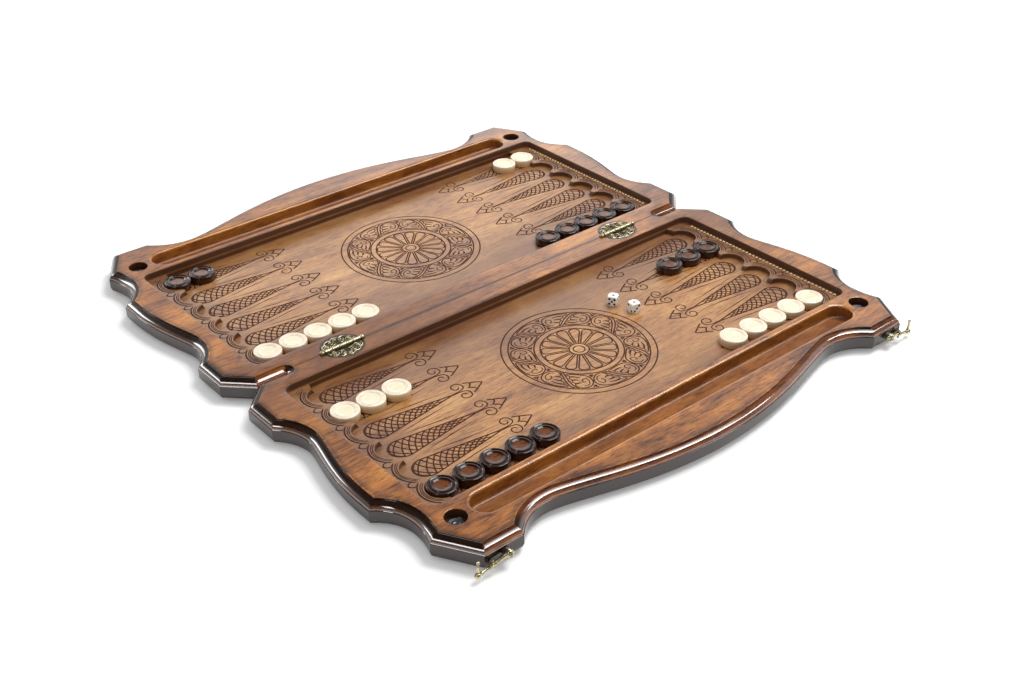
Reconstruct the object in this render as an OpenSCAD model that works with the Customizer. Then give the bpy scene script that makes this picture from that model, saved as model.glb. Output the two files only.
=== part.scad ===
// Folding backgammon board: two carved wooden leaves, brass hinges, hook clasps, checkers and dice.
// X runs along the hinge line, the near leaf lies towards -Y and the far leaf towards +Y, Z is up.
// The origin is on the table, under the middle of the hinge line.

/* [Leaf] */
// Thickness of one leaf
leaf_t = 24; // [20:0.5:32]
// Gap between the two hinge edges
seam_gap = 0.5; // [0.3:0.1:1.5]
// Wood between the hinge line and the playing field
hinge_rail = 23.2; // [20:0.2:30]
// Wood between the field's end wall and the end of the top face
end_rim = 28.5; // [24:0.5:40]
// Wood between the trough and the straight outer side of the top face
outer_rim = 23; // [18:0.5:32]
// Swell of the outer side past its straight corners
crown = 13.5; // [8:0.5:20]

/* [Scalloped outline] */
// Cut across the corner beside the hinge line
hinge_corner = 20; // [14:0.5:26]
// Straight length from that corner to the shoulder
shoulder_len = 31.8; // [20:0.2:44]
// Run from the shoulder to the waist
waist_run = 37; // [28:0.5:46]
// Wood between the field's end wall and the waist
waist_rim = 14; // [11:0.5:20]
// Straight length on the lobe
lobe_len = 12; // [6:0.5:20]
// Run from the lobe to the throat
throat_run = 38; // [30:0.5:46]
// Wood between the field's end wall and the throat
throat_rim = 10; // [8:0.5:16]
// Run from the throat to the tip of the corner
tip_run = 27; // [20:0.5:34]
// Depth of the tip behind the end of the top face
tip_back = 14; // [10:0.5:18]
// Length of the corner's cut along the end
corner_run = 31.5; // [24:0.5:38]
// Length of the corner's cut along the side
corner_back = 18.5; // [12:0.5:26]
// Straight length on the outer side
side_len = 31.5; // [24:0.5:44]
// Run from the straight outer side to the neck
neck_run = 43.5; // [34:0.5:54]
// Wood between the trough and the neck
neck_rim = 4.8; // [4.6:0.1:9]

/* [Edge moulding] */
// Width of the moulding
mould_w = 8; // [5:0.5:10]
// Height of the moulding, above and below the plain band
mould_h = 7; // [5:0.5:9]
// Length of moulding that turns onto the hinge edge
mould_return = 26; // [16:1:34]

/* [Playing field] */
// Distance between neighbouring points
point_pitch = 34.4; // [32:0.2:38]
// Length of the field between its end walls
field_len = 514; // [470:1:560]
// Wood left past the first and last points
field_margin = 5.8; // [4:0.2:10]
// Depth of the field
field_depth = 13; // [10:0.5:15]
// Radius of the field's corners
field_r = 9; // [4:0.5:12]
// Depth of the carved band at each end
band_depth = 7.5; // [5:0.5:9]
// Gap between a checker and the wall of its niche
niche_gap = 0.5; // [0.3:0.1:1.5]
// Width of the carved band behind the niches
band_w = 13.2; // [8:0.2:18]

/* [Trough and wells] */
// Rib between the field and the trough
rib_w = 7.3; // [6:0.1:12]
// Width of the trough
trough_w = 27; // [24:0.5:30]
// Depth of the trough
trough_depth = 13; // [10:0.5:15]
// Distance from the field's end wall to the end of the trough
trough_inset = 24; // [22:0.5:34]
// Width of the slanted lip round the trough
lip_w = 3.2; // [1:0.2:4]
// Height of that lip
lip_h = 1.8; // [1:0.2:3]
// Diameter of the round wells
well_d = 19; // [16:0.5:21]
// Depth of the wells
well_depth = 9; // [6:0.5:11]
// Distance from the field's end wall to a well's centre
well_inset = 7; // [5:0.5:9]
// Diameter of the metal disc in a well
disc_d = 13.4; // [10:0.2:15]
// Thickness of that disc
disc_t = 2.3; // [1.5:0.1:4]

/* [Hinges] */
// Distance of each hinge from the middle
hinge_x = 177; // [120:1:200]
// Length of a plate along the seam
plate_w = 39; // [30:1:46]
// Reach of a plate from the seam
plate_reach = 18; // [15:0.5:19]
// Thickness of a plate
plate_t = 1.2; // [0.8:0.1:1.6]
// Depth of the recess that holds a plate
plate_sink = 0.8; // [0.5:0.1:1.0]
// Height of the pin's axis over the top faces
pin_rise = 0.8; // [0.6:0.1:1.5]
// Diameter of the pin
pin_d = 2; // [1.6:0.1:2.4]
// Outer diameter of the knuckles
knuckle_d = 4.4; // [3.8:0.1:5]
// Diameter of the ball at each end of the pin
knob_d = 5; // [4:0.1:5.4]

/* [Clasps] */
// Length of a hook from its pivot to the ball at its end
hook_len = 31; // [29:0.5:34]
// Diameter of the hook's arm
arm_d = 3.2; // [2.4:0.1:4]
// Diameter of the eye round the pivot
eye_d = 8; // [7:0.2:10]
// Diameter of the pivot screw's shank
pivot_d = 2.6; // [2:0.1:3]
// Thickness of the spacer behind a hook
spacer_t = 2; // [1.5:0.1:3]
// Angle of the open hook below level
hook_droop = 11; // [4:1:12]
// Diameter of the catch stud's neck
stud_neck_d = 3; // [2.4:0.1:3.6]
// Diameter of the catch stud's head
stud_head_d = 7; // [6:0.2:8]

/* [Checkers and dice] */
// Diameter of a checker
checker_d = 27; // [24:0.2:31]
// Height of a checker
checker_h = 8; // [6:0.2:9]
// Gap between neighbouring checkers
checker_gap = 0.7; // [0.3:0.1:1.5]
// Rounding of a checker's edges
checker_round = 1.2; // [0.6:0.1:2]
// Edge length of a die
die_size = 10; // [8:0.5:12]

/* [Hidden] */
$fn = 48;
points = 6;                      // points at each end of a leaf
checkers = 15;                   // checkers of each colour
run = 0.08;                      // radial clearance of a pin in its knuckles and a pivot in its eye
slip = 0.05;                     // clearance round a fastener in its hole
air = 0.3;                       // clearance between pieces that swing past each other
through = 1;                     // overshoot of a cutter past a face
mould_steps = 2;                 // straight steps in each half of the moulding
arc_steps = 6;                   // straight steps in a scoop
sway_steps = 10;                 // straight steps in an S-curve
sway_lead = 0.17;                // reach of an S-curve's first and second handles, as shares of its run
sway_tail = 0.5;

field_half = field_len / 2;
field_w = points * point_pitch + 2 * field_margin;
field_end_y = hinge_rail + field_w;
floor_z = leaf_t - field_depth;
niche_r = checker_d / 2 + niche_gap;
niche_x = field_half - band_w - niche_r;
trough_y = field_end_y + rib_w + trough_w / 2;
trough_half = field_half - trough_inset;
well_x = field_half - well_inset;
well_z = leaf_t - well_depth;
end_x = field_half + end_rim;
side_y = trough_y + trough_w / 2 + outer_rim;
face_y = side_y + mould_w;       // plain band on the straight outer side
hinge_y = seam_gap / 2;
pin_z = leaf_t + pin_rise;
plate_z = leaf_t - plate_sink;
band_z = leaf_t / 2;             // middle of the plain band

function point_y(p) = hinge_rail + field_margin + (p - 0.5) * point_pitch;
function two(i) = str(i < 10 ? "0" : "", i);

// Leaf outline

// Arc that meets the neck square to the outward direction o and ends at the tip
function scoop(tip, neck, o) =
    let (c = tip - neck, r = c * c / (2 * (c * o)), m = neck + r * o, d = tip - m,
         a0 = atan2(o.y * d.x - o.x * d.y, -(o * d)))
    [for (i = [0:arc_steps]) let (a = a0 * (1 - i / arc_steps))
        m + r * [o.y * sin(a) - o.x * cos(a), -o.x * sin(a) - o.y * cos(a)]];

// S-curve from p to q that leaves and arrives along the direction d
function sway(p, q, d) =
    let (l = abs((q - p) * d), a = p + d * l * sway_lead, b = q - d * l * sway_tail)
    [for (i = [1:sway_steps]) let (t = i / sway_steps, s = 1 - t)
        s * s * s * p + 3 * s * s * t * a + 3 * s * t * t * b + t * t * t * q];

function reversed(list) = [for (i = [len(list) - 1:-1:0]) list[i]];
function tail(list) = [for (i = [1:len(list) - 1]) list[i]];

// Top face's outline on the +X side of the far leaf, from the hinge edge round to the crown
edge_y = hinge_y + mould_w;
return_x = end_x - hinge_corner - mould_return;
shoulder = [end_x, edge_y + hinge_corner + shoulder_len];
waist = [field_half + waist_rim, shoulder.y + waist_run];
tip = [end_x - tip_back, side_y - corner_run];
throat = [field_half + throat_rim, tip.y - tip_run];
lobe = [end_x, throat.y - throat_run];
side_start = [tip.x - corner_back, side_y];
side_end = [side_start.x - side_len, side_y];
neck = [side_end.x - neck_run, trough_y + trough_w / 2 + neck_rim];
half_outline = concat(
    [[return_x - mould_w, edge_y], [return_x, edge_y], [end_x - hinge_corner, edge_y]],
    [[end_x, edge_y + hinge_corner]],
    scoop(shoulder, waist, [1, 0]),
    sway(waist, lobe - [0, lobe_len], [0, 1]),
    scoop(lobe, throat, [1, 0]),
    tail(reversed(scoop(tip, throat, [1, 0]))),
    [side_start],
    scoop(side_end, neck, [0, 1]),
    sway(neck, [0, side_y + crown], [-1, 0]));
outline = concat(half_outline,
    [for (i = [len(half_outline) - 2:-1:0]) [-half_outline[i].x, half_outline[i].y]]);
outline_n = len(outline);

function unit(v) = v / norm(v);
function outward(i) =
    let (here = outline[i], before = outline[(i + outline_n - 1) % outline_n],
         after = outline[(i + 1) % outline_n],
         e = unit(here - before), f = unit(after - here),
         n = [e.y, -e.x], m = [f.y, -f.x])
    (n + m) / (1 + n * m);

// Moulding from the top face out to the plain band: a cove, then a bead
function moulding() = concat(
    [for (i = [0:mould_steps]) let (a = 90 * i / mould_steps)
        [mould_w * (1 - cos(a)) / 2, mould_h * sin(a) / 2]],
    [for (i = [1:mould_steps]) let (a = 90 * i / mould_steps)
        [mould_w * (1 + sin(a)) / 2, mould_h * (2 - cos(a)) / 2]]);
// Rings of the loft, which runs past both flat faces on the moulding's own slope and is cut flat there
first_step = moulding()[1];
past = -first_step.x * through / first_step.y;
rings = concat(
    [[past, leaf_t + through]],
    [for (m = tail(moulding())) [m.x, leaf_t - m.y]],
    [for (m = reversed(tail(moulding()))) [m.x, m.y]],
    [[past, -through]]);

// The middle of the hinge edge is plain, so its points stay on the seam at every height
function is_plain(i) = i == 0 || i == outline_n - 1;

// Loft through the rings, closed at each end by a fan round a middle point
module leaf_blank() {
    pts = [for (r = rings) for (i = [0:outline_n - 1])
        let (p = outline[i] + outward(i) * (is_plain(i) ? mould_w : r.x)) [p.x, p.y, r.y]];
    last = (len(rings) - 1) * outline_n;
    top_mid = len(pts);
    middle = side_y / 2;
    sides = [for (k = [0:len(rings) - 2]) for (i = [0:outline_n - 1])
        let (a = k * outline_n + i, b = k * outline_n + (i + 1) % outline_n)
        each [[a, b, b + outline_n], [a, b + outline_n, a + outline_n]]];
    fans = [for (i = [0:outline_n - 1]) let (j = (i + 1) % outline_n)
        each [[j, i, top_mid], [last + i, last + j, top_mid + 1]]];
    polyhedron(concat(pts, [[0, middle, leaf_t + through], [0, middle, -through]]),
        concat(sides, fans));
}

module stadium(half_len, w, h) {
    linear_extrude(h) {
        square([2 * half_len - w, w], center = true);
        for (s = [-1, 1]) translate([s * (half_len - w / 2), 0]) circle(d = w);
    }
}

module round_rect(l, w, r, h) {
    linear_extrude(h) {
        square([l - 2 * r, w], center = true);
        square([l, w - 2 * r], center = true);
        for (sx = [-1, 1], sy = [-1, 1])
            translate([sx * (l / 2 - r), sy * (w / 2 - r)]) circle(r);
    }
}

module field_cut() {
    translate([0, hinge_rail + field_w / 2, leaf_t - band_depth])
        round_rect(field_len, field_w, field_r, band_depth + through);
    translate([-niche_x, hinge_rail, floor_z]) cube([2 * niche_x, field_w, field_depth + through]);
    for (s = [-1, 1], p = [1:points])
        translate([s * niche_x, point_y(p), floor_z])
            cylinder(r = niche_r, h = field_depth + through);
}

module trough_cut() {
    translate([0, trough_y, leaf_t - trough_depth])
        stadium(trough_half, trough_w, trough_depth + through);
    bevel = lip_w / lip_h * through;
    straight = trough_half - trough_w / 2;
    translate([0, trough_y, leaf_t - lip_h]) {
        for (s = [-1, 1]) translate([s * straight, 0])
            cylinder(d1 = trough_w, d2 = trough_w + 2 * (lip_w + bevel), h = lip_h + through);
        rotate([90, 0, 90]) linear_extrude(2 * straight, center = true)
            polygon([[-trough_w / 2, 0], [trough_w / 2, 0],
                     [trough_w / 2 + lip_w + bevel, lip_h + through],
                     [-trough_w / 2 - lip_w - bevel, lip_h + through]]);
    }
}

module wells_cut() {
    for (s = [-1, 1]) translate([s * well_x, trough_y, well_z])
        cylinder(d = well_d, h = well_depth + through);
}

// Hinges

plate_cut = 6;                   // cut across a plate's outer corners
knuckle_len = plate_w / 5;
barrel_half = plate_w / 2 + knob_d;
relief_r = knob_d / 2 + air;
screw_d = 1.8;
screw_head_d = 3.6;
screw_head_h = 0.8;
screw_len = 9;
screw_inset = 7;                 // outer screws, from the ends of a plate
screw_side = plate_w / 2 - screw_inset;
screw_row = 6.5;                 // outer screws, from the seam
screw_back = 4;                  // middle screw, from the plate's far edge
screw_rows = [[-screw_side, screw_row], [0, plate_reach - screw_back], [screw_side, screw_row]];

module at_hinges() {
    for (s = [-1, 1]) translate([s * hinge_x, 0, 0]) children();
}

module hinge_cuts() {
    at_hinges() {
        translate([-plate_w / 2 - slip, 0, plate_z])
            cube([plate_w + 2 * slip, plate_reach + slip, plate_sink + through]);
        translate([0, 0, pin_z]) rotate([0, 90, 0])
            cylinder(r = relief_r, h = 2 * barrel_half + 2 * air, center = true);
        for (p = screw_rows) translate([p.x, p.y, plate_z - screw_len])
            cylinder(d = screw_d + 2 * slip, h = screw_len);
    }
}

// Far plate in its place over the far leaf, with the knuckles numbered in own
module plate(own) {
    inner = knuckle_d / 2 + air;
    outer = plate_reach;
    half = plate_w / 2;
    difference() {
        union() {
            translate([0, 0, plate_z]) linear_extrude(plate_t)
                polygon([[-half, inner], [half, inner], [half, outer - plate_cut],
                         [half - plate_cut, outer], [-half + plate_cut, outer],
                         [-half, outer - plate_cut]]);
            for (k = own) translate([-half + (k + 0.5) * knuckle_len, 0, 0]) {
                w = knuckle_len - air;
                translate([-w / 2, 0, plate_z]) cube([w, inner + slip, plate_t]);
                translate([0, 0, pin_z]) rotate([0, 90, 0])
                    cylinder(d = knuckle_d, h = w, center = true);
            }
        }
        translate([0, 0, pin_z]) rotate([0, 90, 0])
            cylinder(d = pin_d + 2 * run, h = plate_w + 2 * through, center = true);
        for (p = screw_rows) translate([p.x, p.y, plate_z]) {
            cylinder(d = screw_d + 2 * slip, h = plate_t);
            translate([0, 0, plate_t - screw_head_h])
                cylinder(d1 = screw_d + 2 * slip, d2 = screw_head_d + 2 * slip, h = screw_head_h);
        }
    }
}

module screws() {
    at_hinges() for (p = screw_rows) translate([p.x, p.y, plate_z]) {
        translate([0, 0, -screw_len + slip]) cylinder(d = screw_d, h = screw_len + plate_t - screw_head_h);
        translate([0, 0, plate_t - screw_head_h])
            cylinder(d1 = screw_d, d2 = screw_head_d, h = screw_head_h);
    }
}

brass = "#b9a06a";
old_brass = "#8f7a4c";

module far_plate(side) color(brass) translate([side * hinge_x, 0, 0]) plate([1, 3]);
module near_plate(side) color(brass) translate([side * hinge_x, 0, 0])
    mirror([0, 1, 0]) plate([0, 2, 4]);
module hinge_pin(side) color(old_brass) translate([side * hinge_x, 0, pin_z]) rotate([0, 90, 0]) {
    cylinder(d = pin_d, h = plate_w + knob_d, center = true);
    for (s = [-1, 1]) translate([0, 0, s * (plate_w / 2 + knob_d / 2)]) sphere(d = knob_d);
}
module hinge_screws_far() color(old_brass) screws();
module hinge_screws_near() color(old_brass) mirror([0, 1, 0]) screws();

// Clasps, drawn on the near leaf's outer face with the arm standing up from the pivot

hook_t = 3.4;                    // thickness of the eye
spacer_d = 7;
pivot_depth = 12;                // length of the screws in the wood
head_h = 2.2;
closed_z = 2 * pin_z - band_z;   // height of the catch stud on the folded leaf
stud_rise = closed_z - band_z;
stud_side = arm_d / 2 + stud_neck_d / 2 + air;
prong_d = 2.4;
prong_z = stud_rise + stud_neck_d / 2 + 2 * air + prong_d / 2;
prong_len = stud_side + stud_neck_d / 2;
ball_d = 5.2;
collar_d = 5;
collar_z = hook_len / 2;
spur_taper = 1;                  // spurs across the collar are thinner than the arm
spur_reach = 1;                  // spurs past the collar, at each end
eye_rim = 1;                     // eye that shows round the screw's head
clasp_x = (side_start.x + side_end.x) / 2;
hook_y = spacer_t + slip;        // back of the eye, out from the leaf's face
arm_y = hook_y + hook_t / 2;
stud_neck_len = hook_y + hook_t + air;

// Moves children from the pivot, with Y pointing out of the face, to a clasp's place
module at_clasp(side) {
    translate([side * clasp_x, -face_y, band_z]) rotate([0, 0, 180]) children();
}

module clasp_spacer(side) color(old_brass) at_clasp(side) rotate([-90, 0, 0])
    difference() {
        cylinder(d = spacer_d, h = spacer_t);
        translate([0, 0, -through]) cylinder(d = pivot_d + 2 * slip, h = spacer_t + 2 * through);
    }

module clasp_screw(side) color(brass) at_clasp(side) rotate([-90, 0, 0]) {
    seat = hook_y + hook_t + slip;
    translate([0, 0, slip - pivot_depth]) cylinder(d = pivot_d, h = pivot_depth + seat);
    translate([0, 0, seat]) cylinder(d1 = eye_d - eye_rim, d2 = eye_d / 2, h = head_h);
}

module clasp_hook(side) color(brass) at_clasp(side)
    rotate([0, -side * (90 + hook_droop), 0]) difference() {
        union() {
            translate([0, hook_y, 0]) rotate([-90, 0, 0]) cylinder(d = eye_d, h = hook_t);
            translate([0, arm_y, 0]) {
                cylinder(d = arm_d, h = hook_len);
                translate([0, 0, collar_z]) {
                    sphere(d = collar_d);
                    rotate([0, 90, 0])
                        cylinder(d = arm_d - spur_taper, h = collar_d + 2 * spur_reach, center = true);
                }
                translate([0, 0, hook_len]) sphere(d = ball_d);
                translate([0, 0, prong_z]) rotate([0, side * 90, 0]) cylinder(d = prong_d, h = prong_len);
                translate([side * prong_len, 0, prong_z]) sphere(d = prong_d);
            }
        }
        translate([0, hook_y - through, 0]) rotate([-90, 0, 0])
            cylinder(d = pivot_d + 2 * run, h = hook_t + 2 * through);
    }

module catch_stud(side) color(brass)
    translate([side * (clasp_x - stud_side), face_y, band_z]) rotate([-90, 0, 0]) {
        translate([0, 0, slip - pivot_depth]) cylinder(d = stud_neck_d, h = pivot_depth + stud_neck_len);
        translate([0, 0, stud_neck_len]) cylinder(d1 = stud_head_d, d2 = stud_head_d / 2, h = head_h);
    }

// Leaves

wood = "#8a5426";

// Blank with its two flat faces
module leaf_board() {
    l = 2 * (end_x + mould_w + through);
    w = 2 * (side_y + crown + mould_w + through);
    difference() {
        leaf_blank();
        for (z = [leaf_t + through, -through])
            translate([0, 0, z]) cube([l, w, 2 * through], center = true);
    }
}

module leaf() {
    difference() {
        leaf_board();
        field_cut();
        trough_cut();
        wells_cut();
        hinge_cuts();
    }
}

module edge_holes(x, d) {
    for (s = [-1, 1]) translate([s * x, face_y + through, band_z]) rotate([90, 0, 0])
        cylinder(d = d + 2 * slip, h = pivot_depth + through);
}

module far_leaf() color(wood) difference() {
    leaf();
    edge_holes(clasp_x - stud_side, stud_neck_d);
}

module near_leaf() color(wood) mirror([0, 1, 0]) difference() {
    leaf();
    edge_holes(clasp_x, pivot_d);
}

module well_disc(side, leaf_side) color("#b9bcc0")
    translate([side * well_x, leaf_side * trough_y, well_z]) cylinder(d = disc_d, h = disc_t);

// Checkers, each row as leaf side, end, point and number of checkers

row_step = checker_d + checker_gap;
light_rows = [[1, -1, 1, 5], [1, 1, 6, 2], [-1, -1, 2, 3], [-1, 1, 6, 5]];
dark_rows = [[1, 1, 1, 5], [1, -1, 6, 2], [-1, 1, 2, 3], [-1, -1, 6, 5]];

function places(rows) = [for (r = rows) for (i = [0:r[3] - 1])
    [r[1] * (niche_x - i * row_step), r[0] * point_y(r[2]), floor_z]];
light_places = places(light_rows);
dark_places = places(dark_rows);

dish_r = checker_d * 0.3;        // turned hollow in the middle
dish_depth = 0.8;
groove_depth = 0.7;
groove_w = 2;
groove_land = 1;                 // flat between the hollow and the groove
groove_r = dish_r + groove_land + groove_w / 2;
dish_slope = 2;                  // width of the hollow's slanted side

// Half section of a checker: round edges, a ring groove and a turned hollow
module checker_body() {
    r = checker_d / 2;
    q = checker_round;
    rotate_extrude() polygon(concat(
        [[0, 0]],
        [for (a = [0:30:90]) [r - q + q * sin(a), q - q * cos(a)]],
        [for (a = [0:30:90]) [r - q + q * cos(a), checker_h - q + q * sin(a)]],
        [[groove_r + groove_w / 2, checker_h], [groove_r, checker_h - groove_depth],
         [groove_r - groove_w / 2, checker_h], [dish_r, checker_h],
         [dish_r - dish_slope, checker_h - dish_depth], [0, checker_h - dish_depth]]));
}

module light_checker(i) color("#e8d2a8") translate(light_places[i - 1]) checker_body();
module dark_checker(i) color("#3a2418") translate(dark_places[i - 1]) checker_body();

// Dice, each as place in the plane and turn about Z

die_corner_d = die_size * 1.5;   // sphere that rounds the corners
die_places = [[82, -93, 30], [88, -116, -8]];
pip_d = die_size * 0.17;
pip_step = die_size * 0.26;
pip_depth = die_size * 0.04;
pip_sum = 7;                     // pips on two opposite faces

// Pips on a face that looks along +Z
module pips(count) {
    spots = count % 2 == 1 ? [[0, 0]] : [];
    pairs = count > 1 ? [[1, 1]] : [];
    more = count > 3 ? [[1, -1]] : [];
    sides = count > 5 ? [[1, 0]] : [];
    for (p = concat(spots, pairs, -pairs, more, -more, sides, -sides))
        translate([p.x * pip_step, p.y * pip_step, die_size / 2 - pip_depth])
            cylinder(d = pip_d, h = pip_depth + through);
}

// Numbers on the faces towards -X and -Y; opposite faces add up to pip_sum
module die(i, left, front) {
    p = die_places[i];
    color("#f4f2ec") translate([p.x, p.y, floor_z + die_size / 2]) rotate([0, 0, p.z])
        difference() {
            intersection() {
                cube(die_size, center = true);
                sphere(d = die_corner_d);
            }
            pips(1);
            rotate([180, 0, 0]) pips(6);
            rotate([0, -90, 0]) pips(left);
            rotate([0, 90, 0]) pips(pip_sum - left);
            rotate([90, 0, 0]) pips(front);
            rotate([-90, 0, 0]) pips(pip_sum - front);
        }
}
module die_1() die(0, 5, 4);
module die_2() die(1, 2, 3);

near_leaf();
far_leaf();
near_plate(-1);  // left_hinge_near_plate
far_plate(-1);  // left_hinge_far_plate
hinge_pin(-1);  // left_hinge_pin
near_plate(1);  // right_hinge_near_plate
far_plate(1);  // right_hinge_far_plate
hinge_pin(1);  // right_hinge_pin
hinge_screws_near();
hinge_screws_far();
clasp_hook(-1);  // left_clasp_hook
clasp_screw(-1);  // left_clasp_screw
clasp_spacer(-1);  // left_clasp_spacer
catch_stud(-1);  // left_catch_stud
clasp_hook(1);  // right_clasp_hook
clasp_screw(1);  // right_clasp_screw
clasp_spacer(1);  // right_clasp_spacer
catch_stud(1);  // right_catch_stud
well_disc(-1, -1);  // near_left_well_disc
well_disc(1, -1);  // near_right_well_disc
well_disc(-1, 1);  // far_left_well_disc
well_disc(1, 1);  // far_right_well_disc
for (i = [1:checkers]) {
    light_checker(i);
    dark_checker(i);
}
die_1();
die_2();
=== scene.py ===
import math

import bmesh
import bpy
import numpy as np
from mathutils import Euler, Matrix, Vector
from mathutils.geometry import delaunay_2d_cdt


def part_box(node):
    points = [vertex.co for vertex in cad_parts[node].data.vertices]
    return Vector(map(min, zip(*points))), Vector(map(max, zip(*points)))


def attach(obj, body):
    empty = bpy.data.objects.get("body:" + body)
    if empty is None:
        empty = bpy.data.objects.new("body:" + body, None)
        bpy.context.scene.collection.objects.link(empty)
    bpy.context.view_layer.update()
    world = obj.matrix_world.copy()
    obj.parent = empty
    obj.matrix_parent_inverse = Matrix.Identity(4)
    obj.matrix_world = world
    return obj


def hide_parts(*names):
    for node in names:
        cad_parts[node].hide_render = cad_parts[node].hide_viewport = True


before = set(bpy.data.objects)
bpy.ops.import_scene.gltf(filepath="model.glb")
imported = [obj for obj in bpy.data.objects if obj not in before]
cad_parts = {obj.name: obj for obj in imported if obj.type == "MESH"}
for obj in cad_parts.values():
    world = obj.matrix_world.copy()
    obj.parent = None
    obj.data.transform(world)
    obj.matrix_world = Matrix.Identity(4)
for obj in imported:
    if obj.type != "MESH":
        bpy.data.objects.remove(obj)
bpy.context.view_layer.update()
scene = bpy.context.scene
scene.view_settings.view_transform = "Standard"
mm = 0.001
quarter = math.pi / 2
white = (1, 1, 1, 1)
print("frame loaded:", len(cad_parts), "nodes")


# dictionary of a piece's sizes or looks, read by name
class Look(dict):
    __getattr__ = dict.__getitem__


# node trees, for shaders and for geometry

class Sock:
    def __init__(self, tree, socket):
        self.tree, self.socket = tree, socket

    def math(self, operation, other=0.0, flip=False):
        pair = (other, self) if flip else (self, other)
        return self.tree.add("ShaderNodeMath", {"operation": operation}, {0: pair[0], 1: pair[1]})

    def __abs__(self):
        return self.math("ABSOLUTE")

    def most(self, other):
        return self.math("MAXIMUM", other)

    def out(self, which):
        return Sock(self.tree, self.socket.node.outputs[which])


for label, operation in (("add", "ADD"), ("sub", "SUBTRACT"), ("mul", "MULTIPLY"), ("truediv", "DIVIDE"),
                         ("pow", "POWER")):
    setattr(Sock, f"__{label}__", lambda sock, other, kind=operation: sock.math(kind, other))
    setattr(Sock, f"__r{label}__", lambda sock, other, kind=operation: sock.math(kind, other, True))


class NodeTree:
    def __init__(self, tree):
        self.tree = tree

    def add(self, kind, settings=None, inputs=None, out=0):
        node = self.tree.nodes.new(kind)
        for key, value in (settings or {}).items():
            if key == "stops":
                marks = node.color_ramp.elements
                while len(marks) < len(value):
                    marks.new(0.5)
                for mark, (place, colour) in zip(marks, value):
                    mark.position, mark.color = place, colour
            else:
                setattr(node, key, value)
        for key, value in (inputs or {}).items():
            if isinstance(value, Sock):
                self.tree.links.new(value.socket, node.inputs[key])
            else:
                node.inputs[key].default_value = value
        return Sock(self, node.outputs[out]) if len(node.outputs) else None

    def blend(self, share, first, second, kind="MIX"):
        return self.add("ShaderNodeMix", {"data_type": "RGBA", "blend_type": kind, "clamp_factor": True},
                        {0: share, 6: first, 7: second}, 2)

    def span(self, value, low, high):
        return self.add("ShaderNodeMapRange", {"interpolation_type": "SMOOTHSTEP"},
                        {0: value, 1: low, 2: high, 3: 0.0, 4: 1.0})

    def attribute(self, name):
        return self.add("ShaderNodeAttribute", {"attribute_name": name}, out="Fac")

    def place(self):
        return self.add("ShaderNodeTexCoord", out="Object")

    def axes(self, vector):
        x = self.add("ShaderNodeSeparateXYZ", {}, {0: vector})
        return x, x.out(1), x.out(2)

    def length(self, vector):
        return self.add("ShaderNodeVectorMath", {"operation": "LENGTH"}, {0: vector}, "Value")

    def shapeOf(self, thing):
        return self.add("GeometryNodeObjectInfo", {}, {"Object": thing}, "Geometry")

    def turned(self, angles):
        return self.add("FunctionNodeEulerToRotation", {}, {0: angles})

    def bump(self, height, strength, distance):
        return self.add("ShaderNodeBump", {}, {"Strength": strength, "Distance": distance, "Height": height})

    def noise(self, place, stretch, detail=5.0, rough=0.55, warp=0.0):
        spread = self.add("ShaderNodeMapping", {}, {"Vector": place, "Scale": stretch})
        return self.add("ShaderNodeTexNoise", {}, {"Vector": spread, "Scale": 1.0, "Detail": detail,
                                                   "Roughness": rough, "Distortion": warp})


def tint(code):
    parts = [int(code[i:i + 2], 16) / 255 for i in (1, 3, 5)]
    return tuple(c / 12.92 if c < 0.04045 else ((c + 0.055) / 1.055) ** 2.4 for c in parts) + (1.0,)


def newMaterial(name):
    material = bpy.data.materials.new(name)
    material.use_nodes = True
    material.node_tree.nodes.clear()
    return material, NodeTree(material.node_tree)


def finishMaterial(tree, fixed, linked):
    shader = tree.add("ShaderNodeBsdfPrincipled", {}, {**fixed, **linked})
    tree.add("ShaderNodeOutputMaterial", {}, {"Surface": shader})


def addObject(name, mesh):
    thing = bpy.data.objects.new(name, mesh)
    scene.collection.objects.link(thing)
    return thing


# camera, floor and light

viewLook = Look(place=(-0.7439, -0.9154, 0.6999), azimuth=-40.175, elevation=32.227, roll=-0.269, lens=47.79)


def setCamera(look):
    az, el, roll = (math.radians(look[k]) for k in ("azimuth", "elevation", "roll"))
    back = Vector((math.sin(az) * math.cos(el), -math.cos(az) * math.cos(el), math.sin(el)))
    right = Vector((math.cos(az), math.sin(az), 0))
    up = back.cross(right)
    across = right * math.cos(roll) + up * math.sin(roll)
    above = up * math.cos(roll) - right * math.sin(roll)
    data = bpy.data.cameras.new("photoCamera")
    data.lens, data.sensor_width = look.lens, 36
    camera = addObject("photoCamera", data)
    facing = Matrix((across, above, back)).transposed().to_4x4()
    camera.matrix_world = Matrix.Translation(look.place) @ facing
    scene.camera = camera


studioLook = Look(
    fill=0.56, ceiling=(0.53, 0.68, 0.10), backdrop=(0.645, 0.764, 0.0), sides=0.28, turnAway=0.4, floorTone=0.98,
    floorGlow=0.17, floorFade=0.5, fade=(0.42, 1.5), floorHalf=9.0,
    lamps={      # place, aim, size, power; the cards show only in reflections
        "key": ((1.15, -0.2, 2.3), (0, 0, 0), (1.3, 1.3), 52.0),
        "backCard": ((1.17, 2.03, 1.12), (0, 0, 0), (1.6, 0.8), 5.0),
        "leftCard": ((-0.7, 1.57, 0.8), (-0.28, -0.1, 0), (1.3, 0.34), 11.0),
        "sideCard": ((-1.5, -0.46, 1.3), (-0.26, -0.28, 0), (0.45, 0.62), 7.0),
        "frontCard": ((0.95, -0.69, 1.53), (0.95, -0.69, 0), (1.9, 0.3), 22.0)})


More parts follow.
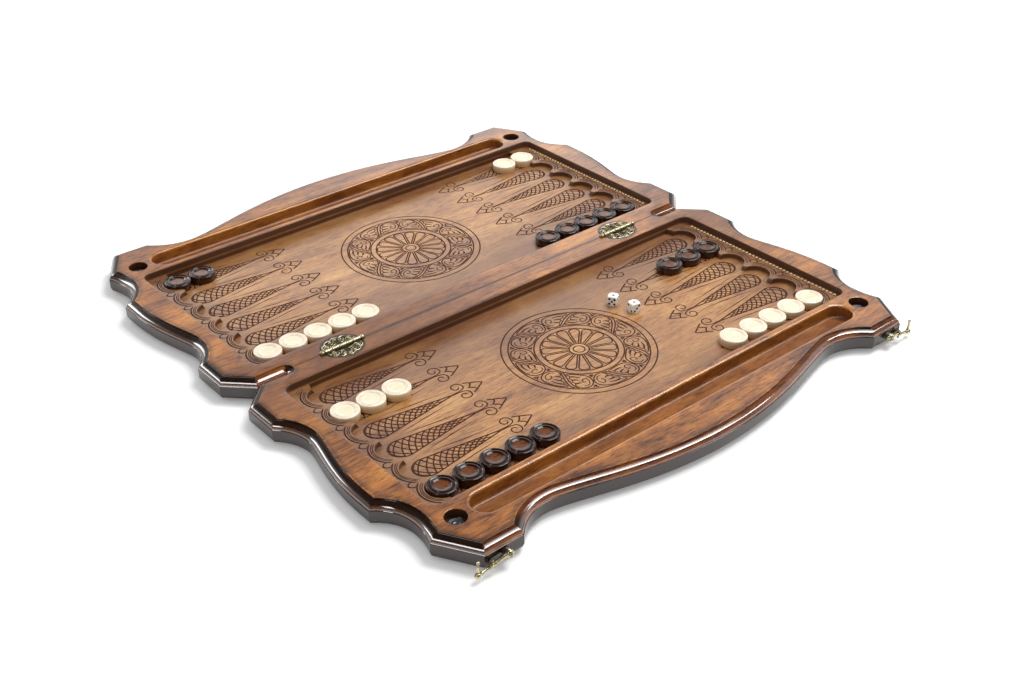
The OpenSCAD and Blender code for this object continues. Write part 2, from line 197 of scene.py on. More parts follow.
def seenDirectly(tree):
    rays = tree.add("ShaderNodeLightPath")
    shown = rays.out("Is Camera Ray").most(rays.out("Is Transmission Ray"))
    return shown, shown.most(rays.out("Is Glossy Ray"))


def setWorld(look):
    world = bpy.data.worlds.new("whiteStudio")
    scene.world = world
    world.use_nodes = True
    world.node_tree.nodes.clear()
    tree = NodeTree(world.node_tree)
    low, high, dim = look.ceiling       # in reflections the ceiling and the sides are dimmer than the backdrop
    way = tree.add("ShaderNodeTexCoord", out="Generated")
    ahead = tree.add("ShaderNodeVectorMath", {"operation": "DOT_PRODUCT"}, {0: way, 1: look.backdrop}, "Value")
    around = tree.span(ahead, 0.0, look.turnAway) * (1.0 - look.sides) + look.sides
    mirrored = around * (1.0 - tree.span(tree.axes(way)[2], low, high) * (1.0 - dim))
    shown, direct = seenDirectly(tree)
    fill, bright = (tree.add("ShaderNodeBackground", {}, {"Color": white, "Strength": strength})
                    for strength in (look.fill, shown.most(mirrored)))
    both = tree.add("ShaderNodeMixShader", {}, {0: direct, 1: fill, 2: bright})
    tree.add("ShaderNodeOutputWorld", {}, {"Surface": both})


def setLamps(look):
    for name, (place, aim, size, power) in look.lamps.items():
        data = bpy.data.lights.new(name, "AREA")
        data.shape = "RECTANGLE"
        (data.size, data.size_y), data.energy = size, power
        light = addObject(name, data)
        light.location = place
        light.visible_diffuse = name == "key"
        light.rotation_euler = (Vector(aim) - Vector(place)).to_track_quat("-Z", "Y").to_euler()


def setFloor(look):
    half = look.floorHalf
    mesh = bpy.data.meshes.new("studioFloor")
    mesh.from_pydata([(-half, -half, 0), (half, -half, 0), (half, half, 0), (-half, half, 0)], [], [(0, 1, 2, 3)])
    floor = addObject("studioFloor", mesh)
    material, tree = newMaterial("paleFloor")
    paint = tree.add("ShaderNodeBsdfDiffuse", {}, {"Color": (look.floorTone,) * 3 + (1,)})
    away = tree.span(tree.length(tree.place()), *look.fade)      # away from the lamps the floor stays white
    pale = away * look.floorFade + look.floorGlow
    glow = tree.add("ShaderNodeEmission", {}, {"Color": white, "Strength": seenDirectly(tree)[1] * pale})
    both = tree.add("ShaderNodeAddShader", {}, {0: paint, 1: glow})
    tree.add("ShaderNodeOutputMaterial", {}, {"Surface": both})
    mesh.materials.append(material)


setCamera(viewLook)
setWorld(studioLook)
setLamps(studioLook)
setFloor(studioLook)
print("camera, floor and light set")


# metals, turned wood and dice

metalLooks = {
    "hingeBrass": Look(bright="#b4aa8b", low="#3d3626", rough=0.36, worn=True, patina=0.5),
    "claspBrass": Look(bright="#cabd98", low="#33271a", rough=0.2, worn=False, patina=0.85),
    "screwBrass": Look(bright="#c4ba95", low="#4c442c", rough=0.28, worn=False, patina=0.4),
    "discSteel": Look(bright="#6f7276", low="#37393c", rough=0.34, worn=False, patina=0.4),
    "spacerSteel": Look(bright="#74787d", low="#2a2c30", rough=0.3, worn=False, patina=0.5)}


def metal(name, look):
    material, tree = newMaterial(name)
    place = tree.place()
    cloud = tree.noise(place, (260.0, 260.0, 260.0), 4.0, 0.6)
    fine = tree.noise(place, (1800.0, 1800.0, 1800.0), 2.0, 0.6)
    dull = tree.span(cloud, 0.44, 0.66) * look.patina
    if look.worn:       # raised work is rubbed bright, the ground stays dark
        dull = dull.most(tree.span(tree.attribute("raised"), 0.22, 0.02))
    tone = tree.blend(dull, tint(look.bright), tint(look.low))
    rough = fine * 0.12 + (look.rough - 0.06) + dull * 0.2
    finishMaterial(tree, {"Metallic": 1.0},
                   {"Base Color": tone, "Roughness": rough, "Normal": tree.bump(fine, 0.08, 0.0002)})
    return material


metals = Look((name, metal(name, look)) for name, look in metalLooks.items())


checkerLooks = {
    "light": Look(
        rim="#fbf2de", dish="#f8e9cc", grain="#e3c79c", line="#b98f5c", side="#d3aa70",
        rings=(0.0115, 0.0099, 0.0086), ringW=0.0003, ringDark=0.5, rough=0.36, coat=0.15, shine=0.3, mottle=0.2),
    "dark": Look(
        rim="#2a1309", dish="#6e3c1c", grain="#1a0b05", line="#0f0602", side="#43200e", rings=(0.0107, 0.0077),
        ringW=0.0007, ringDark=0.8, rough=0.2, coat=0.5, shine=0.1, mottle=0.7)}


def turnedWood(name, look):
    material, tree = newMaterial(name)
    place = tree.place()
    streak = tree.noise(place, (60.0, 520.0, 300.0), 5.0, 0.6, 0.4)
    cloud = tree.noise(place, (170.0, 420.0, 300.0), 4.0, 0.65, 0.5)
    radius = tree.attribute("radius")
    z = tree.axes(place)[2]
    lathe = tree.add("ShaderNodeTexNoise", {"noise_dimensions": "1D"},
                     {"W": radius * 2600.0, "Scale": 1.0, "Detail": 2.0})
    tone = tree.blend(tree.span(radius, 0.0085, 0.0055), tint(look.rim), tint(look.dish))
    tone = tree.blend(tree.span(streak, 0.5, 0.75) * 0.55, tone, tint(look.grain))
    tone = tree.blend(tree.span(cloud, 0.46, 0.62) * look.mottle, tone, tint(look.grain))
    for ringR in look.rings:
        line = tree.span(abs(radius - ringR), look.ringW, look.ringW * 0.3)
        tone = tree.blend(line * look.ringDark, tone, tint(look.line))
    side = tree.span(radius, 0.0130, 0.0133) * tree.span(z, 0.0205, 0.0135)      # turned side, darker to the foot as painted shade
    tone = tree.blend(side * 0.9, tone, tint(look.side))
    rough = lathe * 0.12 + streak * 0.1 + (look.rough - 0.1)
    finishMaterial(tree, {"Coat Weight": look.coat, "Coat Roughness": 0.08, "Specular IOR Level": look.shine},
                   {"Base Color": tone, "Roughness": rough, "Normal": tree.bump(lathe, 0.12, 0.0003)})
    return material


turnedWoods = {colour: turnedWood(f"{colour}TurnedWood", look) for colour, look in checkerLooks.items()}


def dieMaterial():
    material, tree = newMaterial("dieWhite")
    cloud = tree.noise(tree.place(), (150.0, 150.0, 150.0), 3.0, 0.5)
    body = tree.blend(cloud * 0.4, tint("#f4f2ec"), tint("#e2ded2"))
    tone = tree.blend(tree.span(tree.attribute("pip"), 0.2, 0.5), body, tint("#0d0c0c"))
    finishMaterial(tree, {"Coat Weight": 0.3, "Coat Roughness": 0.1},
                   {"Base Color": tone, "Roughness": cloud * 0.1 + 0.28})
    return material


dieWhite = dieMaterial()


# plane curves, in millimetres

def arc(centre, radius, start, end, steps):
    a = np.radians(np.linspace(start, end, steps + 1))
    return np.stack([centre[0] + radius * np.cos(a), centre[1] + radius * np.sin(a)], 1)


def scoop(tip, neck, o, steps):
    tip, neck, o = (np.array(v, float) for v in (tip, neck, o))
    c = tip - neck
    r = c @ c / (2 * (c @ o))
    m = neck + r * o
    d = tip - m
    a = math.atan2(o[1] * d[0] - o[0] * d[1], -(o @ d)) * (1 - np.arange(steps + 1) / steps)
    return np.stack([m[0] + r * (o[1] * np.sin(a) - o[0] * np.cos(a)),
                     m[1] + r * (-o[0] * np.sin(a) - o[1] * np.cos(a))], 1)


def sway(p, q, d, steps):
    p, q, d = (np.array(v, float) for v in (p, q, d))
    reach = abs((q - p) @ d)
    a, b = p + d * reach * 0.17, q - d * reach * 0.5
    t = (np.arange(1, steps + 1) / steps)[:, None]
    s = 1 - t
    return s ** 3 * p + 3 * s * s * t * a + 3 * s * t * t * b + t ** 3 * q


def spiral(centre, start, turn, outer, inner, steps, ease=0.8):
    share = np.linspace(0, 1, steps + 1)
    a = np.radians(start + turn * share)
    r = outer + (inner - outer) * share ** ease
    return np.stack([centre[0] + r * np.cos(a), centre[1] + r * np.sin(a)], 1)


def stroke(points, width, lead=0.0, closed=False, tail=1.0):
    points = np.array(points, float)
    half = np.linspace(1, tail, len(points)) * width / 2
    if lead and not closed:
        run = np.concatenate([[0], np.cumsum(np.linalg.norm(np.diff(points, axis=0), axis=1))])
        half *= np.clip(np.minimum(run, run[-1] - run) / lead, 0.12, 1)
    return Look(points=points, half=half, closed=closed)


def smoothLine(points, steps=8):
    points = np.array(points, float)
    ends = np.vstack([2 * points[0] - points[1], points, 2 * points[-1] - points[-2]])
    made = [points[0]]
    for i in range(len(points) - 1):
        a, b, c, d = ends[i:i + 4]
        for k in range(1, steps + 1):
            t = k / steps
            made.append(0.5 * (2 * b + (c - a) * t + (2 * a - 5 * b + 4 * c - d) * t * t
                               + (3 * b - a - 3 * c + d) * t ** 3))
    return np.array(made)


def strokeSides(s):
    p = s.points
    if s.closed:
        d = np.roll(p, -1, 0) - np.roll(p, 1, 0)
    else:
        d = np.gradient(p, axis=0)
    d /= np.maximum(np.linalg.norm(d, axis=1), 1e-9)[:, None]
    n = np.stack([-d[:, 1], d[:, 0]], 1) * s.half[:, None]
    return p + n, p - n


# distance of points from each stretch of a line, and the share of the stretch where it is met
def lineGap(xy, line):
    a, e = line[:-1], np.diff(line, axis=0)
    q = xy[:, None, :] - a[None]
    t = np.clip((q * e).sum(2) / np.maximum((e * e).sum(1), 1e-12), 0, 1)
    return np.linalg.norm(q - t[..., None] * e, axis=2), t


def strokeDepth(xy, strokes, slope):
    depth = np.zeros(len(xy))
    for s in strokes:
        p, h = s.points, s.half
        if s.closed:
            p, h = np.vstack([p, p[:1]]), np.append(h, h[0])
        reach = h.max()
        near = np.all((xy > p.min(0) - reach) & (xy < p.max(0) + reach), axis=1).nonzero()[0]
        if len(near):
            gap, t = lineGap(xy[near], p)
            half = h[:-1] + (h[1:] - h[:-1]) * t
            depth[near] = np.maximum(depth[near], ((half - gap) * slope).max(1))
    return np.maximum(depth, 0)


def insideLoop(xy, loop):
    x, y = xy[:, 0], xy[:, 1]
    inside = np.zeros(len(xy), bool)
    a = np.array(loop)
    for (x0, y0), (x1, y1) in zip(a, np.roll(a, -1, 0)):
        if y0 != y1:
            crosses = ((y0 > y) != (y1 > y)) & (x < (x1 - x0) * (y - y0) / (y1 - y0) + x0)
            inside ^= crosses
    return inside


# flat sheet inside a loop, with V-cuts (or ridges, with a negative slope) along its strokes
def carvedSheet(bm, outer, level, material, strokes=(), slope=1.0, holes=(), extra=()):
    coords, edges = [], []

    def put(points, closed):
        first = len(coords)
        coords.extend(Vector(p) for p in points)
        last = len(coords) - 1
        edges.extend((i, i + 1) for i in range(first, last))
        if closed:
            edges.append((last, first))

    for loop in [outer] + list(holes):
        put(loop, True)
    for s in strokes:
        for line in (*strokeSides(s), s.points):
            put(line, s.closed)
    coords.extend(Vector(p) for p in extra)
    flat, _, faces, _, _, _ = delaunay_2d_cdt(coords, edges, [], 0, 1e-4)
    xy = np.array([tuple(v) for v in flat])
    depth = strokeDepth(xy, strokes, abs(slope)) * math.copysign(1, slope)
    faces = np.array([f for f in faces if len(f) == 3])
    middle = xy[faces].mean(1)
    keep = insideLoop(middle, outer)
    for hole in holes:
        keep &= ~insideLoop(middle, hole)
    mark = bm.verts.layers.float[0]
    used = {}
    for face in faces[keep]:
        corners = []
        for i in face:
            if i not in used:
                used[i] = bm.verts.new((xy[i, 0], xy[i, 1], level - depth[i]))
                used[i][mark] = abs(depth[i])
            corners.append(used[i])
        bm.faces.new(corners).material_index = material


def newForm(*layers):
    bm = bmesh.new()
    for layer in layers:
        bm.verts.layers.float.new(layer)
    return bm


def ring(bm, points, level):
    return [bm.verts.new((p[0], p[1], level)) for p in points]


def bridge(bm, first, second, material, closed=True):
    count = len(first)
    for i in range(count if closed else count - 1):
        j = (i + 1) % count
        face = bm.faces.new((first[i], first[j], second[j], second[i]))
        face.material_index = material
        face.smooth = True


def stack(bm, rings, material, closed=True):
    for first, second in zip(rings, rings[1:]):
        bridge(bm, first, second, material, closed)


def meshOf(bm, name):
    mesh = bpy.data.meshes.new(name)
    bm.to_mesh(mesh)
    bm.free()
    return mesh


def closeMesh(bm, name, merge=0.003):
    bmesh.ops.remove_doubles(bm, verts=bm.verts, dist=merge)
    bmesh.ops.dissolve_degenerate(bm, edges=bm.edges, dist=merge * 0.3)
    bmesh.ops.recalc_face_normals(bm, faces=bm.faces)
    openEdges = sum(1 for e in bm.edges if len(e.link_faces) != 2)
    mesh = meshOf(bm, name)
    mesh.transform(Matrix.Scale(mm, 4))
    print(name, len(mesh.polygons), "faces, open edges", openEdges)
    return mesh


def putPiece(name, mesh, body, nodes):
    piece = addObject(name, mesh)
    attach(piece, body)
    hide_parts(*nodes)
    return piece


# leaves

leafLook = Look(
    thickness=24.0, seam=0.25, endX=285.5, sideY=298.5, crown=13.5, mouldW=8.0, hingeCorner=20.0, mouldReturn=26.0,
    arris=0.5, fieldHalf=257.0, fieldNear=23.2, fieldFar=241.2, fieldRound=9.0, floor=11.0, band=16.5, nicheX=229.8,
    nicheR=14.0, noseBack=3.4, firstPoint=46.2, pitch=34.4, points=6, troughY=262.0, troughHalf=233.0, troughW=27.0,
    troughFloor=11.0, lipW=3.2, lipH=1.8, troughFoot=3.0, wellX=250.0, wellR=9.5, wellFloor=15.0, cutSlope=1.15,
    fieldLip=0.8, wellLip=0.7, wellFoot=0.6, spotGap=1.2, quirkW=0.25, quirkH=1.45, beadW=7.0, beadH=5.0,
    shoulderLen=31.8, waistWall=14.0, waistLen=37.0, lobeLen=38.0, lobeRise=12.0, throatWall=10.0, throatLen=27.0,
    tipIn=14.0, tipDown=31.5, facet=18.5, sideLen=31.5, neckLen=43.5, neckWall=4.8)


def topOutline(k):
    edgeY = k.seam + k.mouldW
    endX, sideY = k.endX, k.sideY
    returnX = endX - k.hingeCorner - k.mouldReturn
    shoulder = (endX, edgeY + k.hingeCorner + k.shoulderLen)
    waist = (k.fieldHalf + k.waistWall, shoulder[1] + k.waistLen)
    tip = (endX - k.tipIn, sideY - k.tipDown)
    throat = (k.fieldHalf + k.throatWall, tip[1] - k.throatLen)
    lobe = (endX, throat[1] - k.lobeLen)
    sideStart = (tip[0] - k.facet, sideY)
    sideEnd = (sideStart[0] - k.sideLen, sideY)
    neck = (sideEnd[0] - k.neckLen, k.troughY + k.troughW / 2 + k.neckWall)
    half = np.vstack([
        arc((returnX, k.seam), k.mouldW, 180, 90, 8),
        [(endX - k.hingeCorner, edgeY), (endX, edgeY + k.hingeCorner)],
        scoop(shoulder, waist, (1, 0), 18), sway(waist, (lobe[0], lobe[1] - k.lobeRise), (0, 1), 34),
        scoop(lobe, throat, (1, 0), 18), scoop(tip, throat, (1, 0), 14)[::-1][1:], [sideStart],
        scoop(sideEnd, neck, (0, 1), 20), sway(neck, (0, sideY + k.crown), (-1, 0), 46)])
    return np.vstack([half, half[-2::-1] * (-1, 1)])


def splitCorners(loop, gap=0.7):
    made = [loop[0]]
    for before, here, after in zip(loop, loop[1:], loop[2:]):
        a, b = here - before, after - here
        la, lb = np.linalg.norm(a), np.linalg.norm(b)
        if (a[0] * b[1] - a[1] * b[0]) / (la * lb) > 0.3 and min(la, lb) > 2 * gap:
            made += [here - a / la * gap, here, here + b / lb * gap]
        else:
            made.append(here)
    return np.array(made + [loop[-1]])


def outwards(loop):
    e = loop - np.roll(loop, 1, 0)
    e /= np.linalg.norm(e, axis=1)[:, None]
    f = np.roll(e, -1, 0)
    n, m = np.stack([e[:, 1], -e[:, 0]], 1), np.stack([f[:, 1], -f[:, 0]], 1)
    return (n + m) / (1 + (n * m).sum(1))[:, None]


# edge section from the top face down: rounded arris, quirk, broad bead, small ledge
def edgeSection(k):
    q = k.arris
    rise = [(-q + q * math.sin(a), q - q * math.cos(a)) for a in np.radians((0, 30, 60, 90))]
    w, h = k.quirkW, k.quirkH
    rise += [(0.0, h - w), (w, h)]
    bead = np.radians(np.linspace(7.5, 90, 12))
    rise += [(w + k.beadW * math.sin(a), h + k.beadH * (1 - math.cos(a))) for a in bead]
    rise += [(7.25, 6.7), (7.5, 6.95), (7.85, 7.0), (8.0, 7.2)]
    return rise


def roundRect(x0, x1, y0, y1, r, grow=0.0, steps=8):
    x0, x1, y0, y1, r = x0 - grow, x1 + grow, y0 - grow, y1 + grow, r + grow
    corners = [((x1 - r, y0 + r), -90), ((x1 - r, y1 - r), 0), ((x0 + r, y1 - r), 90), ((x0 + r, y0 + r), 180)]
    return [arc(c, r, a, a + 90, steps) for c, a in corners]


def pointCentre(k, p):
    return k.firstPoint + k.pitch * p


# floor's and band's edge at one end of the field, from the hinge side outwards
def nicheEdge(k, grow, back):
    made = [(k.nicheX + back, k.fieldNear)]
    for p in range(k.points):
        y = pointCentre(k, p)
        for a in np.radians(np.linspace(-90, 90, 29)):
            r = k.nicheR + grow
            made.append((max(k.nicheX + r * math.cos(a), k.nicheX + back), y + r * math.sin(a)))
        if p < k.points - 1:
            mid = y + k.pitch / 2
            made += [(k.nicheX + back * lean, mid + step) for step, lean in ((-1.3, 0.72), (0, 0.5), (1.3, 0.72))]
    made.append((k.nicheX + back, k.fieldFar))
    return np.array(made)


def stadium(half, width, y, grow, steps=14):
    r = width / 2 + grow
    c = half - width / 2
    return np.vstack([arc((c, y), r, -90, 90, steps), arc((-c, y), r, 90, 270, steps)])


# carved point, drawn with u towards the end of the board and v across

motifLook = Look(
    line=1.6, fine=1.7, root=232.0, wide=218.5, tip=140.5, halfW=12.2, hatch=6.6, slant=14.0, bow=2.6, slim=1.5)


def dropHalf(m, u):
    if u > m.wide:
        return m.halfW * math.sqrt(max(0.0, 1 - ((u - m.wide) / (m.root - m.wide)) ** 2))
    return 0.5 + (m.halfW - 0.5) * (u - m.tip) / (m.wide - m.tip)


def motifStrokes(m):
    made = []
    cap = [(m.wide + (m.root - m.wide) * math.cos(a), m.halfW * math.sin(a))
           for a in np.radians(np.linspace(-90, 90, 25))]
    drop = [(m.tip, -0.5)] + cap + [(m.tip, 0.5)]
    made.append(stroke(drop, m.line * 1.1))
    count = int((m.root - m.tip) / m.hatch)
    for i in range(count + 2):
        low = m.root - 1.2 - i * m.hatch + m.slant * 0.45
        high = low - m.slant
        low = min(low, m.root - 0.3)
        if high < m.tip + 1.5 or dropHalf(m, high) < m.slim:
            continue
        for flip in (1, -1):
            a, b = np.array((low, -dropHalf(m, low))), np.array((high, dropHalf(m, high)))
            t = np.linspace(0, 1, 7)[:, None]
            line = a + (b - a) * t + np.array((m.bow, 0)) * 4 * t * (1 - t)
            made.append(stroke(line * (1, flip), m.fine * min(0.95, 0.45 + dropHalf(m, high) / 6.0)))
    for flip in (1, -1):
        made.append(stroke([(215.5, 16.9 * flip), (175, 11.5 * flip), (134.0, 7.0 * flip)], m.fine * 0.85, 12.0))
        stem = smoothLine([(m.tip + 1, 0.5), (132, 0.6), (127.4, 1.2), (124.3, 2.3), (122.7, 3.8)])
        curl = spiral((128.6, 7.2), 210, -430, 6.8, 1.3, 44, 1.0)      # turns outwards and back, like a horn
        made.append(stroke(np.vstack([stem[:-1], curl]) * (1, flip), m.line * 0.95, 3.0))
        leaf = smoothLine([(120.1, 8.9), (116.6, 7.4), (110.0, 3.7), (103.8, 0.05)])
        made.append(stroke(leaf * (1, flip), m.line * 1.1, 1.0))
        cusp = smoothLine([(114.0, 6.0), (114.7, 4.3), (116.3, 2.3), (119.4, 0.05)])
        made.append(stroke(cusp * (1, flip), m.line * 1.1, 0.6))
    return made


# medallion, drawn round its own centre

wheelLook = Look(
    rings=(73.8, 67.0, 42.6, 36.8), hub=(9.6, 5.5), line=1.6, spokes=16, petal=36.0, spokeGap=1.1, vine=54.8,
    turn=93.0, flips=(1, 1, -1, 1, -1, 1, -1),
    stem=[(-11.0, 11.4), (-7.4, 9.6), (-3.2, 4.6), (3.2, -4.6), (7.4, -9.6), (11.0, -11.4)],
    leaf=[(11.6, -9.4), (14.8, -10.4), (20.8, -8.0), (24.0, -0.6), (21.2, 7.0), (14.4, 10.3), (5.0, 10.7),
          (-2.4, 10.0)],
    fingers=[(-2.4, 10.0), (-2.4, 8.2), (1.6, 6.6), (1.4, 3.9), (5.0, 1.4), (5.0, -1.6), (8.2, -3.8), (8.6, -7.0),
             (11.6, -9.4)],
    curl=[(14.8, -7.2), (19.6, -5.4), (20.6, 0.8), (17.4, 5.2), (14.2, 2.6), (15.6, -1.4), (17.9, 0.4)],
    slits=[[(1.6, 6.6), (7.4, 6.9), (12.8, 5.4)], [(5.0, 1.4), (8.4, 2.2), (12.0, 2.2)], [(8.2, -3.8), (11.0, -3.0),
           (13.4, -1.2)]],
    tips=[[(22.4, 10.6), (23.8, 8.8), (24.4, 6.0)], [(27.0, 10.6), (25.6, 8.8), (25.0, 6.0)], [(24.7, 9.0),
          (24.7, 11.0)]],
    slit=2.5, tip=1.6)


def wheelStrokes(w):
    made = [stroke(arc((0, 0), r, 0, 357.5, 143), w.line, closed=True) for r in w.rings]
    made += [stroke(arc((0, 0), r, 0, 350, 35), w.line, closed=True) for r in w.hub]
    half = math.radians(180 / w.spokes)
    for i in range(w.spokes):
        side = [(r * math.cos(half), r * math.sin(half) - w.spokeGap * math.cos(half)) for r in (11.2, 20.0, 31.2)]
        x, y = side[2]
        crown = smoothLine([(x, y), (34.2, y * 0.86), (w.petal, 0), (34.2, -y * 0.86), (x, -y)], 5)
        path = np.vstack([side[:2], crown, [(x, -y) for x, y in side[1::-1]]])
        a = 2 * half * (i + 0.5) + math.pi / 2
        c, s = math.cos(a), math.sin(a)
        made.append(stroke(path @ np.array(((c, s), (-s, c))), w.line))
    for i, flip in enumerate(w.flips):        # a stem crosses the band, with a leaf scroll on each side of it
        first = math.radians(w.turn + 360 * i / len(w.flips))

        def bent(points, steps, half=1):
            points = smoothLine(points, steps) * (half, half * flip)
            a, r = first + points[:, 0] / w.vine, w.vine + points[:, 1]
            return np.stack([r * np.cos(a), r * np.sin(a)], 1)

        for shift in (-1.8, 1.8):
            made.append(stroke(bent(np.array(w.stem) + (shift, 0), 6), w.line, 2.0))
        for half in (-1, 1):
            made.append(stroke(bent(w.leaf, 6, half), w.line, 1.5))
            made.append(stroke(bent(w.fingers, 3, half), w.line * 0.8))
            made.append(stroke(bent(w.curl, 5, half), w.line * 0.8, 1.5))
            made += [stroke(bent(slit, 4, half), w.slit, 0.8, tail=0.4) for slit in w.slits]
        for half in (-1, 1):
            made += [stroke(bent(np.array(tip) * (1, half), 3), w.tip, 0.8) for tip in w.tips]
    return made


# band behind the niches: arcs, kites between them and a rope along the wall

bandLook = Look(
    line=1.7, outer=20.2, inner=(17.8, 16.2), ropePitch=4.6, ropeX=253.8, ropeLean=1.2, ropeZ=16.8,
    ropeSize=(1.5, 1.95, 1.3))


def bandStrokes(k, b):
    made = []
    for p in range(k.points):
        y = pointCentre(k, p)
        made.append(stroke(arc((k.nicheX, y), b.outer, -58, 58, 26), b.line, 3.0))
        for r in b.inner:
            made.append(stroke(arc((k.nicheX, y), r, -62, 62, 24), b.line * 0.65, 3.0))
    for p in range(k.points - 1):
        y = pointCentre(k, p) + k.pitch / 2
        kite = smoothLine([(245.0, -2.4), (247.6, -3.6), (250.4, 0.0), (247.6, 3.6), (245.0, 2.4)], 4) + (0, y)
        made.append(stroke(kite, b.line * 0.85, 2.0))
        made.append(stroke([(249.6, y - 2.1), (251.0, y), (249.6, y + 2.1)], b.line * 1.3, 1.2))
    for end, sign in ((k.fieldNear, 1), (k.fieldFar, -1)):
        for reach in (3.0, 5.4):
            line = smoothLine([(236.0, end + sign * reach), (243.0, end + sign * (reach + 0.4)),
                               (249.5, end + sign * (reach + 3.6))], 5)
            made.append(stroke(line, b.line * 0.8, 3.0))
    for y in ropePlaces(k, b):
        made.append(stroke([(b.ropeX - 1.5, y - b.ropeLean), (b.ropeX + 1.5, y + b.ropeLean)],
                           b.line * 1.25, 1.2))
    return made


def ropePlaces(k, b):
    return np.arange(k.fieldNear + 12.0, k.fieldFar - 11.0, b.ropePitch)


def placed(strokes, sign, shift):
    return [Look(s, points=s.points * (sign, 1) + (0, shift)) for s in strokes]


# woods of the boards

woodLooks = {
    "rim": Look(
        pale="#da8f3a", mid="#985a24", dark="#45200c", rough=0.36, coat=0.1, shine=0.38, gloss=0.3,
        mix=(0.26, 0.40, 0.34), sink=0.5, deep="#6e3a0d", stain="#341607", lip="#d99a45", shade="#5a2c10",
        bump=0.12, bed=(0.177, 0.0208, 0.0190)),
    "field": Look(
        pale="#dfab66", mid="#b3783a", dark="#6c3b16", rough=0.42, coat=0.6, shine=0.5, gloss=0.35,
        mix=(0.34, 0.32, 0.34), burn="#63350f", wall="#4a260c", cut="#4c1d07", haze="#8c5f43", rope="#d9b888",
        bump=0.14),
    "edge": Look(
        pale="#b06a2a", mid="#84481a", dark="#4a220c", rough=0.24, coat=0.95, shine=0.1, gloss=0.09,
        mix=(0.35, 0.35, 0.30), stain="#120704", bump=0.03)}


def woodFigure(tree, place, look):
    streak = tree.noise(place, (7.0, 75.0, 75.0), 7.0, 0.68, 0.6)
    pores = tree.noise(place, (75.0, 560.0, 560.0), 4.0, 0.7)
    cloud = tree.noise(place, (16.0, 26.0, 26.0), 6.0, 0.66)
    shares = look.mix
    figure = streak * shares[0] + cloud * shares[1] + (pores * 1.7 - 0.35) * shares[2]
    tone = tree.add("ShaderNodeValToRGB", {"stops": [(0.38, tint(look.dark)), (0.50, tint(look.mid)),
                                                     (0.62, tint(look.pale))]}, {0: figure})
    tone = tree.blend(tree.span(pores, 0.52, 0.66) * 0.5, tone, tint(look.dark))
    return tone, figure, pores


